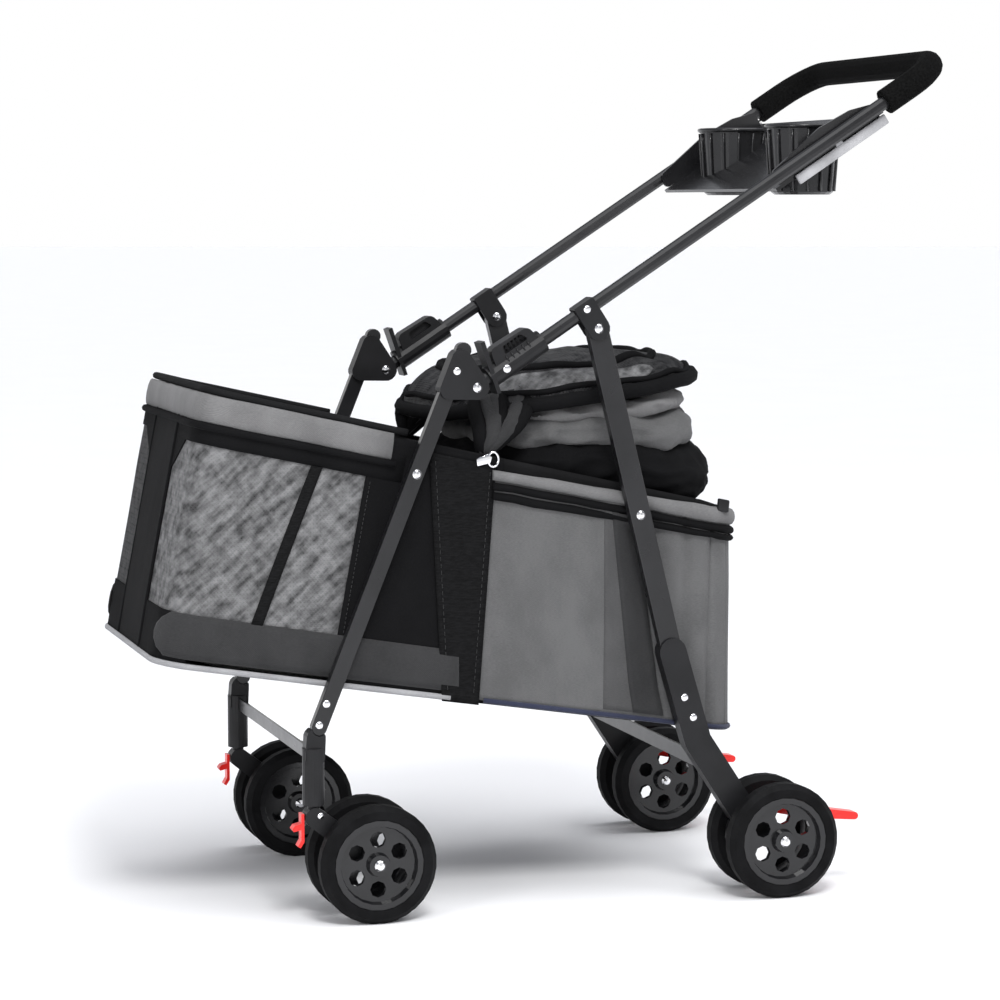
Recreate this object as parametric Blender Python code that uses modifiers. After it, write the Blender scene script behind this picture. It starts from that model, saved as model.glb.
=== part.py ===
"""Folding pet stroller: a four-bar tube frame with a latched handle, twin wheels and a fabric basket.

Metres. +X is the way the stroller rolls forward, +Y is its own left and +Z is up. The origin is on
the ground, in the middle of the whole stroller. Places in the side view are (x, z) pairs.
"""

import math

import bmesh
import bpy
from mathutils import Matrix, Vector

# Side view: pivots and fastening points of the folding linkage, as (x, z).
LEG_PIVOT = (0.183, 0.507)
REAR_LEG_PIN = (-0.085, 0.453)
HANDLE_PIVOT = (0.113, 0.604)
REAR_LEG_PIVOT = (-0.032, 0.669)
FRONT_LEG_FASTENER = (0.137, 0.623)

# Directions in the side view, in degrees from +X towards +Z.
HANDLE_ANGLE = 147.0
FRONT_LEG_ANGLE = 112.0
REAR_LEG_ANGLE = 76.2
RAIL_ANGLE = 11.4

# Lengths along the legs and the handle.
FRONT_LEG_TOP = 0.034
FRONT_LEG_END_Z = 0.214
REAR_LEG_END_Z = 0.200
HANDLE_END = 0.6856
HANDLE_CORNER = 0.050
GRIP_ON_ARM = 0.088
TUBE_RADIUS = 0.008
GRIP_RADIUS = 0.0155

# Tube sections: width in the side view and thickness across the stroller.
FRONT_LEG_WIDTH = 0.018
FRONT_LEG_THICKNESS = 0.012
REAR_LEG_WIDTH = 0.025
REAR_LEG_THICKNESS = 0.013
RAIL_HEIGHT = 0.014
RAIL_THICKNESS = 0.011
RAIL_OVERHANG = 0.031

# Across the stroller: distance of each plane from the middle.
LEG_Y = 0.200
RAIL_Y = 0.179
BOSS_END_Y = 0.1930
FRONT_TWIN_Y = 0.1935
REAR_TWIN_Y = 0.203

# Wheels.
WHEEL_RADIUS = 0.068
WHEEL_WIDTH = 0.026
TYRE_DEPTH = 0.016
TYRE_STEPS = 32
HUB_STEPS = 24
HUB_WINDOWS = 6
TWIN_OFFSET = 0.031
AXLE_RADIUS = 0.004
FRONT_AXLE_X = 0.236
REAR_AXLE_X = -0.252
AXLE_Z = WHEEL_RADIUS * math.cos(math.pi / TYRE_STEPS)
STEM_X = 0.304
STEM_RADIUS = 0.007
STEM_TOP_Z = 0.185
FOOT_BOTTOM_Z = 0.135

# The brake pedal tips about this point of the rear foot.
PEDAL_PIVOT = (-0.244, 0.1055)

# Plastic brackets and the rivets through them.
BRACKET_THICKNESS = 0.021
BRACKET_SLOT = 0.0166
BRACKET_WALL = 0.0025
RIVET_RADIUS = 0.003
RIVET_HEAD = 0.0055
GAP = 0.0003

# Latch slider on the handle.
SLIDER_RADIUS = 0.0135
COVER_WIDTH = 0.022
RECESS_DEPTH = 0.0075
SLIDER_START = 0.019
SLIDER_END = 0.095

# Fabric basket: side view corners (x, z) and half widths.
BASKET_FLOOR_FRONT = (0.4773, 0.2994)
BASKET_FLOOR_REAR = (-0.215, 0.191)
BASKET_RIM_FRONT = (0.420, 0.601)
BASKET_RIM_REAR = (-0.214, 0.459)
BASKET_HALF_WIDTH = 0.1885
BASKET_NOSE_HALF_WIDTH = 0.182
BASKET_CORNER = 0.045
BASKET_WALL = 0.0025
FLOOR_PAD_THICKNESS = 0.012

# Folded canopy lying on the rear of the basket rim.
CANOPY_FRONT_X = 0.098
CANOPY_REAR_X = -0.213
CANOPY_TOP_Z = 0.644
CANOPY_HALF_WIDTH = 0.177

# Cup tray between the handle arms.
CUP_X = -0.321
CUP_Y = 0.112
CUP_TOP_Z = 0.903
CUP_BOTTOM_Z = 0.822
CUP_TOP_RADIUS = 0.043
CUP_BOTTOM_RADIUS = 0.037
CUP_WALL = 0.0025
TRAY_START = 0.432
TRAY_END = 0.588
DECK_RISE = -0.0165
DECK_THICKNESS = 0.004
DECK_HALF_WIDTH = 0.1885
WING_Y = 0.1880

COLOURS = {
    "frame_tube": ((0.018, 0.018, 0.020), 0.32, 0.0),
    "bracket_plastic": ((0.022, 0.022, 0.024), 0.45, 0.0),
    "foam": ((0.010, 0.010, 0.011), 0.92, 0.0),
    "tray_plastic": ((0.030, 0.030, 0.032), 0.28, 0.0),
    "bumper_grey": ((0.16, 0.15, 0.16), 0.6, 0.0),
    "tyre_rubber": ((0.014, 0.014, 0.016), 0.75, 0.0),
    "hub_plastic": ((0.020, 0.020, 0.022), 0.25, 0.0),
    "chrome": ((0.80, 0.80, 0.82), 0.15, 1.0),
    "red_plastic": ((0.80, 0.02, 0.02), 0.35, 0.0),
    "basket_fabric": ((0.16, 0.16, 0.165), 0.9, 0.0),
    "canopy_fabric": ((0.09, 0.09, 0.095), 0.9, 0.0),
    "pad_fabric": ((0.05, 0.05, 0.055), 0.95, 0.0),
}


def clear_scene():
    """Remove every object, so the script can be run again."""
    for obj in list(bpy.data.objects):
        bpy.data.objects.remove(obj, do_unlink=True)
    for group in list(bpy.data.collections):
        bpy.data.collections.remove(group)


def new_collection(name):
    group = bpy.data.collections.new(name)
    bpy.context.scene.collection.children.link(group)
    return group


def material(name):
    """One Principled material for each named finish."""
    found = bpy.data.materials.get(name)
    if found:
        return found
    colour, roughness, metallic = COLOURS[name]
    made = bpy.data.materials.new(name)
    made.use_nodes = True
    shader = made.node_tree.nodes["Principled BSDF"]
    shader.inputs["Base Color"].default_value = (*colour, 1.0)
    shader.inputs["Roughness"].default_value = roughness
    shader.inputs["Metallic"].default_value = metallic
    return made


# ---- side view helpers ----

def direction(angle):
    turn = math.radians(angle)
    return Vector((math.cos(turn), math.sin(turn)))


def along(start, angle, distance, rise=0.0):
    """The point that lies a distance along a direction, and a rise to its upper side."""
    ahead = direction(angle)
    upper = Vector((-ahead.y, ahead.x)) if ahead.x >= 0 else Vector((ahead.y, -ahead.x))
    return tuple(Vector(start) + ahead * distance + upper * rise)


def on_handle(distance, rise=0.0):
    return along(HANDLE_PIVOT, HANDLE_ANGLE, distance, rise)


def on_line(start, end, x):
    """The height of the straight line from start to end at x."""
    return start[1] + (end[1] - start[1]) * (x - start[0]) / (end[0] - start[0])


def rim_z(x):
    return on_line(BASKET_RIM_REAR, BASKET_RIM_FRONT, x)


def floor_z(x):
    return on_line(BASKET_FLOOR_REAR, BASKET_FLOOR_FRONT, x)


def circle(centre, radius, count=16):
    points = []
    for step in range(count):
        turn = 2 * math.pi * (step + 0.5) / count
        points.append((centre[0] + radius * math.cos(turn), centre[1] + radius * math.sin(turn)))
    return points


def hull(*outlines):
    """The convex outline, counter-clockwise, round all the given points."""
    points = sorted({(round(x, 7), round(z, 7)) for outline in outlines for x, z in outline})

    def half(ordered):
        chain = []
        for point in ordered:
            while len(chain) > 1:
                a = Vector(chain[-1]) - Vector(chain[-2])
                b = Vector(point) - Vector(chain[-1])
                if a.x * b.y - a.y * b.x > 0:
                    break
                chain.pop()
            chain.append(point)
        return chain[:-1]

    return half(points) + half(reversed(points))


def rounded_box(half_x, half_z, radius, count=4):
    """A rectangle about the origin with round corners, counter-clockwise."""
    points = []
    for corner, (sx, sz) in enumerate(((1, 1), (-1, 1), (-1, -1), (1, -1))):
        for step in range(count):
            turn = math.pi / 2 * (corner + step / (count - 1))
            x = sx * (half_x - radius) + radius * math.cos(turn)
            z = sz * (half_z - radius) + radius * math.sin(turn)
            points.append((x, z))
    return points


# ---- solids ----

def side_plane(y):
    """A frame whose local X, Y lie along world X, Z, at the given distance across."""
    return Matrix.Translation((0, y, 0)) @ Matrix.Rotation(math.pi / 2, 4, "X")


def across(x, z, y=0.0):
    """A frame whose local Z is world Y."""
    return Matrix.Translation((x, y, z)) @ Matrix.Rotation(-math.pi / 2, 4, "X")


def lengthwise(start, end, y):
    """A frame at the middle of start to end, whose local Z runs along it and local Y across."""
    ahead = Vector((end[0] - start[0], 0, end[1] - start[1])).normalized()
    side = Vector((0, 1, 0))
    normal = side.cross(ahead)
    middle = Vector(((start[0] + end[0]) / 2, y, (start[1] + end[1]) / 2))
    turn = Matrix((normal, side, ahead)).transposed().to_4x4()
    return Matrix.Translation(middle) @ turn


def mesh_of(obj, collection):
    """Turn a curve object into a welded mesh object in the same place."""
    bpy.context.view_layer.update()
    evaluated = obj.evaluated_get(bpy.context.evaluated_depsgraph_get())
    mesh = bpy.data.meshes.new_from_object(evaluated)
    work = bmesh.new()
    work.from_mesh(mesh)
    bmesh.ops.remove_doubles(work, verts=work.verts, dist=0.00001)
    bmesh.ops.recalc_face_normals(work, faces=work.faces)
    work.to_mesh(mesh)
    work.free()
    name = obj.name
    place = obj.matrix_world.copy()
    bpy.data.objects.remove(obj, do_unlink=True)
    made = bpy.data.objects.new(name, mesh)
    made.matrix_world = place
    collection.objects.link(made)
    return made


def extrusion(name, outline, depth, frame, collection):
    """A flat outline in the frame's local XY, thickened evenly to both sides along its local Z."""
    curve = bpy.data.curves.new(name, "CURVE")
    curve.dimensions = "2D"
    curve.fill_mode = "BOTH"
    curve.extrude = depth / 2
    spline = curve.splines.new("POLY")
    spline.points.add(len(outline) - 1)
    for point, (x, y) in zip(spline.points, outline):
        point.co = (x, y, 0, 1)
    spline.use_cyclic_u = True
    obj = bpy.data.objects.new(name, curve)
    obj.matrix_world = frame
    collection.objects.link(obj)
    return mesh_of(obj, collection)


def wire(name, points, radius, collection, caps=True, sides=4):
    """A round tube or rod along points."""
    curve = bpy.data.curves.new(name, "CURVE")
    curve.dimensions = "3D"
    curve.bevel_depth = radius
    curve.bevel_resolution = sides
    curve.use_fill_caps = caps
    spline = curve.splines.new("POLY")
    spline.points.add(len(points) - 1)
    for point, place in zip(spline.points, points):
        point.co = (*place, 1)
    obj = bpy.data.objects.new(name, curve)
    collection.objects.link(obj)
    return mesh_of(obj, collection)


def turned(name, profile, frame, collection, steps=16, ring=False):
    """A profile of (radius, height), top to bottom, turned about the frame's local Z."""
    work = bmesh.new()
    verts = [work.verts.new((radius, 0, height)) for radius, height in profile]
    pairs = list(zip(verts, verts[1:]))
    if ring:
        pairs.append((verts[-1], verts[0]))
    for first, second in pairs:
        work.edges.new((first, second))
    mesh = bpy.data.meshes.new(name)
    work.to_mesh(mesh)
    work.free()
    obj = bpy.data.objects.new(name, mesh)
    collection.objects.link(obj)
    screw = obj.modifiers.new("turn", "SCREW")
    screw.axis = "Z"
    screw.steps = steps
    screw.render_steps = steps
    screw.use_merge_vertices = True
    screw.merge_threshold = 0.00001
    obj.matrix_world = frame
    return obj


def rod(name, radius, start_y, end_y, x, z, collection, sides=16):
    """A plain round rod along Y."""
    bpy.ops.mesh.primitive_cylinder_add(vertices=sides, radius=radius, depth=abs(end_y - start_y))
    obj = bpy.context.object
    obj.name = name
    obj.matrix_world = across(x, z, (start_y + end_y) / 2)
    for group in list(obj.users_collection):
        group.objects.unlink(obj)
    collection.objects.link(obj)
    return obj


def box(name, low, high, collection):
    bpy.ops.mesh.primitive_cube_add(size=1)
    obj = bpy.context.object
    obj.name = name
    for group in list(obj.users_collection):
        group.objects.unlink(obj)
    collection.objects.link(obj)
    size = [high[i] - low[i] for i in range(3)]
    obj.data.transform(Matrix.Diagonal((*size, 1)))
    obj.location = [(high[i] + low[i]) / 2 for i in range(3)]
    return obj


def boolean(obj, other, operation):
    """Cut with, or join to, a hidden wire shape."""
    step = obj.modifiers.new(operation.lower(), "BOOLEAN")
    step.operation = operation
    step.solver = "EXACT"
    step.object = other
    other.hide_render = True
    other.display_type = "WIRE"


def bevel(obj, width, segments=2, angle=40):
    step = obj.modifiers.new("round_edges", "BEVEL")
    step.width = width
    step.segments = segments
    step.limit_method = "ANGLE"
    step.angle_limit = math.radians(angle)


def finish(obj, finish_name, parent):
    """Give a piece its material, smooth shading and the empty that carries it."""
    if obj.type == "MESH":
        obj.data.materials.clear()
        obj.data.materials.append(material(finish_name))
        obj.data.shade_smooth()
        obj.data.set_sharp_from_angle(angle=math.radians(35))
    place = obj.matrix_world.copy()
    obj.parent = parent
    obj.matrix_parent_inverse = parent.matrix_world.inverted()
    obj.matrix_world = place
    return obj


def pivot(name, x, y, z, group):
    """An empty on a joint axis, which the pieces of one moving body hang from."""
    empty = bpy.data.objects.new(name, None)
    empty.location = (x, y, z)
    empty.empty_display_size = 0.03
    group.objects.link(empty)
    bpy.context.view_layer.update()
    return empty


# ---- frame ----

def side_rail(name, y, group, cutters, parent):
    front = along(LEG_PIVOT, RAIL_ANGLE, RAIL_OVERHANG)
    rear = along(REAR_LEG_PIN, RAIL_ANGLE, -0.014)
    depth = (Vector(front) - Vector(rear)).length
    section = rounded_box(RAIL_HEIGHT / 2, RAIL_THICKNESS / 2, 0.004)
    rail = extrusion(name, section, depth, lengthwise(rear, front, y), group)
    boss_middle = math.copysign((RAIL_Y + BOSS_END_Y) / 2, y)
    boss_place = side_plane(boss_middle) @ Matrix.Translation((*REAR_LEG_PIN, 0))
    boss = extrusion(name + "_boss", circle((0, 0), 0.0045, 16), BOSS_END_Y - RAIL_Y, boss_place, cutters)
    boolean(rail, boss, "UNION")
    hole = rod(name + "_pivot_hole", RIVET_RADIUS + GAP, y - 0.02, y + 0.02, *LEG_PIVOT, cutters)
    boolean(rail, hole, "DIFFERENCE")
    finish(rail, "frame_tube", parent)


def front_bumper(group, parent):
    """A padded loop that closes the front ends of the two rails."""
    radius = 0.0065
    corner = 0.018
    arm_start = RAIL_OVERHANG + 0.0006
    arm_end = RAIL_OVERHANG + 0.024
    flat = []
    for side in (1, -1):
        arc = [(arm_start, side * RAIL_Y)]
        for step in range(5):
            turn = math.pi / 2 * step / 4
            ahead = arm_end - corner + corner * math.sin(turn)
            arc.append((ahead, side * (RAIL_Y - corner + corner * math.cos(turn))))
        flat += arc if side > 0 else arc[::-1]
    points = []
    for ahead, y in flat:
        x, z = along(LEG_PIVOT, RAIL_ANGLE, ahead)
        points.append((x, y, z))
    loop = wire("front_bumper", points, radius, group)
    finish(loop, "bumper_grey", parent)


def rail_cross_bar(group, parent):
    """A flat strip lying on top of both rails."""
    x, z = along(LEG_PIVOT, RAIL_ANGLE, -0.148, RAIL_HEIGHT / 2 + 0.0018)
    bar = box("rail_cross_bar", (-0.0055, -0.184, -0.0013), (0.0055, 0.184, 0.0013), group)
    bar.location = (x, 0, z)
    bar.rotation_euler = (0, -math.radians(RAIL_ANGLE), 0)
    bpy.context.view_layer.update()
    bevel(bar, 0.0008, 1)
    finish(bar, "bumper_grey", parent)


def leg_solid(name, top, bottom, width, thickness, y, group):
    """A flat-sided oval leg with round ends, between the centres of its two ends."""
    outline = hull(circle(top, width / 2), circle(bottom, width / 2))
    leg = extrusion(name, outline, thickness, side_plane(y), group)
    bevel(leg, thickness * 0.46, 3, 30)
    return leg


def front_leg_axis(z):
    """The point of the front leg's centre line at a height."""
    return along(LEG_PIVOT, FRONT_LEG_ANGLE, (z - LEG_PIVOT[1]) / math.sin(math.radians(FRONT_LEG_ANGLE)))


def rear_leg_axis(z):
    rise = (z - REAR_LEG_PIN[1]) / math.sin(math.radians(REAR_LEG_ANGLE))
    return along(REAR_LEG_PIN, REAR_LEG_ANGLE, rise)


def front_leg(name, y, group, cutters, parent):
    top = along(FRONT_LEG_FASTENER, FRONT_LEG_ANGLE, FRONT_LEG_TOP - FRONT_LEG_WIDTH / 2)
    bottom = front_leg_axis(FRONT_LEG_END_Z + FRONT_LEG_WIDTH / 2)
    leg = leg_solid(name, top, bottom, FRONT_LEG_WIDTH, FRONT_LEG_THICKNESS, y, group)
    hole = rod(name + "_pivot_hole", RIVET_RADIUS + GAP, y - 0.02, y + 0.02, *LEG_PIVOT, cutters)
    boolean(leg, hole, "DIFFERENCE")
    finish(leg, "frame_tube", parent)


def rear_leg(name, y, group, cutters, parent):
    bottom = rear_leg_axis(REAR_LEG_END_Z + REAR_LEG_WIDTH / 2)
    leg = leg_solid(name, REAR_LEG_PIVOT, bottom, REAR_LEG_WIDTH, REAR_LEG_THICKNESS, y, group)
    for place in (REAR_LEG_PIVOT, REAR_LEG_PIN):
        hole = rod(name + "_pivot_hole", RIVET_RADIUS + GAP, y - 0.02, y + 0.02, *place, cutters)
        boolean(leg, hole, "DIFFERENCE")
    finish(leg, "frame_tube", parent)


def front_bracket(name, y, group, cutters, parent):
    """A saddle fixed round the top of the front leg, with two cheeks for the handle pivot."""
    half = FRONT_LEG_WIDTH / 2 + GAP + BRACKET_WALL
    upper = along(FRONT_LEG_FASTENER, FRONT_LEG_ANGLE, 0.020 - half * 0.5)
    lower = along(FRONT_LEG_FASTENER, FRONT_LEG_ANGLE, -0.022)
    strip = hull(circle(upper, half), circle(lower, half), circle(HANDLE_PIVOT, 0.014))
    bracket = extrusion(name, strip, BRACKET_THICKNESS, side_plane(y), group)
    bevel(bracket, 0.0015, 1, 50)
    far = along(FRONT_LEG_FASTENER, FRONT_LEG_ANGLE, 0.10)
    near = along(FRONT_LEG_FASTENER, FRONT_LEG_ANGLE, -0.10)
    reach = 0.08
    front_face = FRONT_LEG_WIDTH / 2 + GAP
    middle = (reach - front_face) / 2
    slot = box(
        name + "_slot",
        (-reach / 2 - front_face / 2, -BRACKET_SLOT / 2, -0.1),
        (reach / 2 + front_face / 2, BRACKET_SLOT / 2, 0.1),
        cutters,
    )
    slot.matrix_world = lengthwise(far, near, y) @ Matrix.Translation((middle, 0, 0))
    boolean(bracket, slot, "DIFFERENCE")
    hole = rod(name + "_pin_hole", RIVET_RADIUS + GAP, y - 0.02, y + 0.02, *HANDLE_PIVOT, cutters)
    boolean(bracket, hole, "DIFFERENCE")
    finish(bracket, "bracket_plastic", parent)


def handle_bracket_distance():
    """How far along the handle the rear bracket sits, straight above the rear leg's pivot."""
    offset = Vector(REAR_LEG_PIVOT) - Vector(HANDLE_PIVOT)
    return offset.dot(direction(HANDLE_ANGLE))


def rear_bracket(name, y, group, cutters, parent):
    """A saddle over the handle tube, with two cheeks that hold the rear leg's top."""
    centre = handle_bracket_distance()
    top = TUBE_RADIUS + GAP + BRACKET_WALL
    corners = []
    for distance in (-0.0115, 0.0115):
        corners.append(circle(on_handle(centre + distance, top - 0.002), 0.002, 8))
        corners.append(circle(on_handle(centre + distance, -TUBE_RADIUS), 0.002, 8))
    outline = hull(*corners, circle(REAR_LEG_PIVOT, 0.0135))
    bracket = extrusion(name, outline, BRACKET_THICKNESS, side_plane(y), group)
    bevel(bracket, 0.0015, 1, 50)
    slot_outline = [
        on_handle(centre - 0.08, TUBE_RADIUS + GAP),
        on_handle(centre - 0.08, -0.08),
        on_handle(centre + 0.08, -0.08),
        on_handle(centre + 0.08, TUBE_RADIUS + GAP),
    ]
    slot = extrusion(name + "_slot", slot_outline, BRACKET_SLOT, side_plane(y), cutters)
    boolean(bracket, slot, "DIFFERENCE")
    hole = rod(name + "_pin_hole", RIVET_RADIUS + GAP, y - 0.02, y + 0.02, *REAR_LEG_PIVOT, cutters)
    boolean(bracket, hole, "DIFFERENCE")
    finish(bracket, "bracket_plastic", parent)


def rivet(name, x, z, y_inner, y_outer, group, parent, heads=2):
    """A shank from y_inner to y_outer with a domed head outside, and one inside if it has two."""
    half = abs(y_outer - y_inner) / 2 + GAP
    dome = 0.0028
    head = [(0, half + dome), (RIVET_HEAD * 0.62, half + dome * 0.75), (RIVET_HEAD, half)]
    profile = head + [(RIVET_RADIUS, half)]
    if heads == 2:
        profile += [(radius, -height) for radius, height in reversed(profile)]
    else:
        profile += [(RIVET_RADIUS, 2 * GAP - half), (0, 2 * GAP - half)]
    place = across(x, z, (y_inner + y_outer) / 2)
    if y_outer < 0:
        place = place @ Matrix.Rotation(math.pi, 4, "X")
    obj = turned(name, profile, place, group, steps=12)
    finish(obj, "chrome", parent)


# ---- handle ----

def handle_path(first, corner_steps=6):
    """Points up one arm, round the corner, across, and down the other arm, from a distance on."""
    flat = []
    for side in (1, -1):
        arc = [(first, side * LEG_Y)]
        for step in range(corner_steps + 1):
            turn = math.pi / 2 * step / corner_steps
            ahead = HANDLE_END - HANDLE_CORNER + HANDLE_CORNER * math.sin(turn)
            arc.append((ahead, side * (LEG_Y - HANDLE_CORNER + HANDLE_CORNER * math.cos(turn))))
        flat += arc if side > 0 else arc[::-1]
    points = []
    for distance, y in flat:
        x, z = on_handle(distance)
        points.append((x, y, z))
    return points


def handle(group, cutters, parent):
    tube = wire("handle_tube", handle_path(-0.007), TUBE_RADIUS, group)
    for side in (1, -1):
        y = side * LEG_Y
        hole = rod("handle_pin_hole", RIVET_RADIUS + GAP, y - 0.02, y + 0.02, *HANDLE_PIVOT, cutters)
        boolean(tube, hole, "DIFFERENCE")
    finish(tube, "frame_tube", parent)
    start = HANDLE_END - GRIP_ON_ARM
    grip = wire("handle_grip", handle_path(start), GRIP_RADIUS, group, sides=5)
    bore = wire("grip_bore", handle_path(start - 0.02), TUBE_RADIUS + GAP, cutters)
    boolean(grip, bore, "DIFFERENCE")
    finish(grip, "foam", parent)


def latch_slider(name, y, group, cutters, parent):
    """A sleeve on the handle, with a stop flange and a finger grip, hollowed from both sides."""
    low = on_handle(SLIDER_START)
    high = on_handle(SLIDER_END)
    length = SLIDER_END - SLIDER_START
    sleeve_outline = circle((0, 0), SLIDER_RADIUS, 16)
    slider = extrusion(name, sleeve_outline, length, lengthwise(low, high, y), group)
    flange_outline = [
        on_handle(0.0150, -0.019),
        on_handle(0.0195, -0.020),
        on_handle(0.0350, 0.040),
        on_handle(0.0295, 0.041),
    ]
    flange = extrusion(name + "_flange", flange_outline, 0.026, side_plane(y), cutters)
    boolean(slider, flange, "UNION")
    cover_outline = hull(
        circle(on_handle(0.0420, 0.0190), 0.0085),
        circle(on_handle(0.0800, 0.0175), 0.0085),
        circle(on_handle(0.0360, 0.0020), 0.0060),
        circle(on_handle(0.0870, 0.0020), 0.0060),
    )
    cover = extrusion(name + "_cover", cover_outline, COVER_WIDTH, side_plane(y), cutters)
    bevel(cover, 0.005, 2, 50)
    boolean(slider, cover, "UNION")
    recess_outline = hull(
        circle(on_handle(0.0520, 0.0200), 0.0030),
        circle(on_handle(0.0720, 0.0190), 0.0045),
        circle(on_handle(0.0500, 0.0155), 0.0020),
        circle(on_handle(0.0770, 0.0155), 0.0020),
    )
    for side in (1, -1):
        recess_y = y + side * (COVER_WIDTH / 2 + 0.005 - RECESS_DEPTH)
        recess = extrusion(name + "_recess", recess_outline, 0.010, side_plane(recess_y), cutters)
        boolean(slider, recess, "DIFFERENCE")
    bore = extrusion(
        name + "_bore", circle((0, 0), TUBE_RADIUS + 0.0004, 16), 0.2, lengthwise(low, high, y), cutters
    )
    boolean(slider, bore, "DIFFERENCE")
    finish(slider, "bracket_plastic", parent)


def cup_tray(group, cutters, parent):
    """A moulded tray: a sloping deck between the handle arms, two upright cups and side wings."""
    deck_outline = [
        on_handle(TRAY_START, DECK_RISE),
        on_handle(TRAY_START, DECK_RISE + DECK_THICKNESS),
        on_handle(TRAY_END, DECK_RISE + DECK_THICKNESS),
        on_handle(TRAY_END, DECK_RISE),
    ]
    tray = extrusion("cup_tray", hull(deck_outline), 2 * DECK_HALF_WIDTH, side_plane(0), group)
    for side in (1, -1):
        place = Matrix.Translation((CUP_X, side * CUP_Y, 0))
        shell_profile = [
            (0, CUP_TOP_Z),
            (CUP_TOP_RADIUS, CUP_TOP_Z),
            (CUP_BOTTOM_RADIUS, CUP_BOTTOM_Z + 0.003),
            (CUP_BOTTOM_RADIUS - 0.004, CUP_BOTTOM_Z),
            (0, CUP_BOTTOM_Z),
        ]
        shell = turned("cup_shell", shell_profile, place, cutters, steps=24)
        boolean(tray, shell, "UNION")
    for side in (1, -1):
        place = Matrix.Translation((CUP_X, side * CUP_Y, 0))
        inside_profile = [
            (0, CUP_TOP_Z + 0.03),
            (CUP_TOP_RADIUS - CUP_WALL, CUP_TOP_Z + 0.03),
            (CUP_TOP_RADIUS - CUP_WALL, CUP_TOP_Z),
            (CUP_BOTTOM_RADIUS - CUP_WALL, CUP_BOTTOM_Z + 0.003),
            (0, CUP_BOTTOM_Z + 0.003),
        ]
        inside = turned("cup_inside", inside_profile, place, cutters, steps=24)
        boolean(tray, inside, "DIFFERENCE")
    for side in (1, -1):
        wing_outline = hull(
            circle(on_handle(TRAY_START + 0.008, -0.007), 0.005),
            circle(on_handle(TRAY_START + 0.010, 0.003), 0.004),
            circle(on_handle(TRAY_START + 0.083, 0.0125), 0.005),
            circle(on_handle(TRAY_END - 0.030, 0.009), 0.005),
            circle(on_handle(TRAY_END - 0.006, 0.000), 0.006),
            circle(on_handle(TRAY_END - 0.006, -0.014), 0.005),
        )
        wing = extrusion("tray_wing", wing_outline, 0.004, side_plane(side * WING_Y), cutters)
        boolean(tray, wing, "UNION")
    finish(tray, "tray_plastic", parent)


# ---- feet, casters and wheels ----

def front_foot(name, y, group, cutters, parent):
    """The plastic end of the front leg, a vertical socket for the caster stem."""
    height = 0.200 - FOOT_BOTTOM_Z
    socket_place = Matrix.Translation((STEM_X, y, FOOT_BOTTOM_Z + height / 2))
    foot = extrusion(name, circle((0, 0), 0.0125, 20), height, socket_place, group)
    shoulder_outline = hull(
        circle((STEM_X - 0.0005, 0.190), 0.0115),
        circle(front_leg_axis(0.212), 0.0112),
    )
    shoulder = extrusion(name + "_shoulder", shoulder_outline, 0.017, side_plane(y), cutters)
    boolean(foot, shoulder, "UNION")
    leg_room = hull(
        circle(front_leg_axis(FRONT_LEG_END_Z + FRONT_LEG_WIDTH / 2), FRONT_LEG_WIDTH / 2 + GAP),
        circle(front_leg_axis(0.30), FRONT_LEG_WIDTH / 2 + GAP),
    )
    room = extrusion(name + "_leg_room", leg_room, 0.05, side_plane(y), cutters)
    boolean(foot, room, "DIFFERENCE")
    bore_height = STEM_TOP_Z + 0.001 - FOOT_BOTTOM_Z + 0.01
    bore_place = Matrix.Translation((STEM_X, y, STEM_TOP_Z + 0.001 - bore_height / 2))
    bore = extrusion(name + "_bore", circle((0, 0), STEM_RADIUS + GAP, 20), bore_height, bore_place, cutters)
    boolean(foot, bore, "DIFFERENCE")
    finish(foot, "bracket_plastic", parent)


def caster_fork(name, y, group, cutters, parent):
    """A vertical stem with an arm that trails back to the axle between the twin wheels."""
    arm_outline = hull(circle((STEM_X, 0.1215), 0.0115), circle((FRONT_AXLE_X, AXLE_Z), 0.013))
    fork = extrusion(name, arm_outline, 0.020, side_plane(y), group)
    stem_low = 0.115
    height = STEM_TOP_Z - stem_low
    place = Matrix.Translation((STEM_X, y, stem_low + height / 2))
    stem = extrusion(name + "_stem", circle((0, 0), STEM_RADIUS, 20), height, place, cutters)
    boolean(fork, stem, "UNION")
    hole = rod(
        name + "_axle_hole", AXLE_RADIUS + GAP, y - 0.03, y + 0.03, FRONT_AXLE_X, AXLE_Z, cutters
    )
    boolean(fork, hole, "DIFFERENCE")
    finish(fork, "bracket_plastic", parent)


def swivel_lock(name, y, group, parent):
    """A small hooked lever on the front of the fork, which slides up to stop the swivel."""
    front = STEM_X + 0.0115 + 0.0006
    outline = [
        (front, 0.126),
        (front, 0.094),
        (front + 0.0045, 0.087),
        (front + 0.0075, 0.089),
        (front + 0.0035, 0.096),
        (front + 0.0035, 0.108),
        (front + 0.0120, 0.106),
        (front + 0.0140, 0.109),
        (front + 0.0110, 0.113),
        (front + 0.0035, 0.115),
        (front + 0.0035, 0.126),
    ]
    lock = extrusion(name, outline, 0.013, side_plane(y), group)
    finish(lock, "red_plastic", parent)


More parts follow.
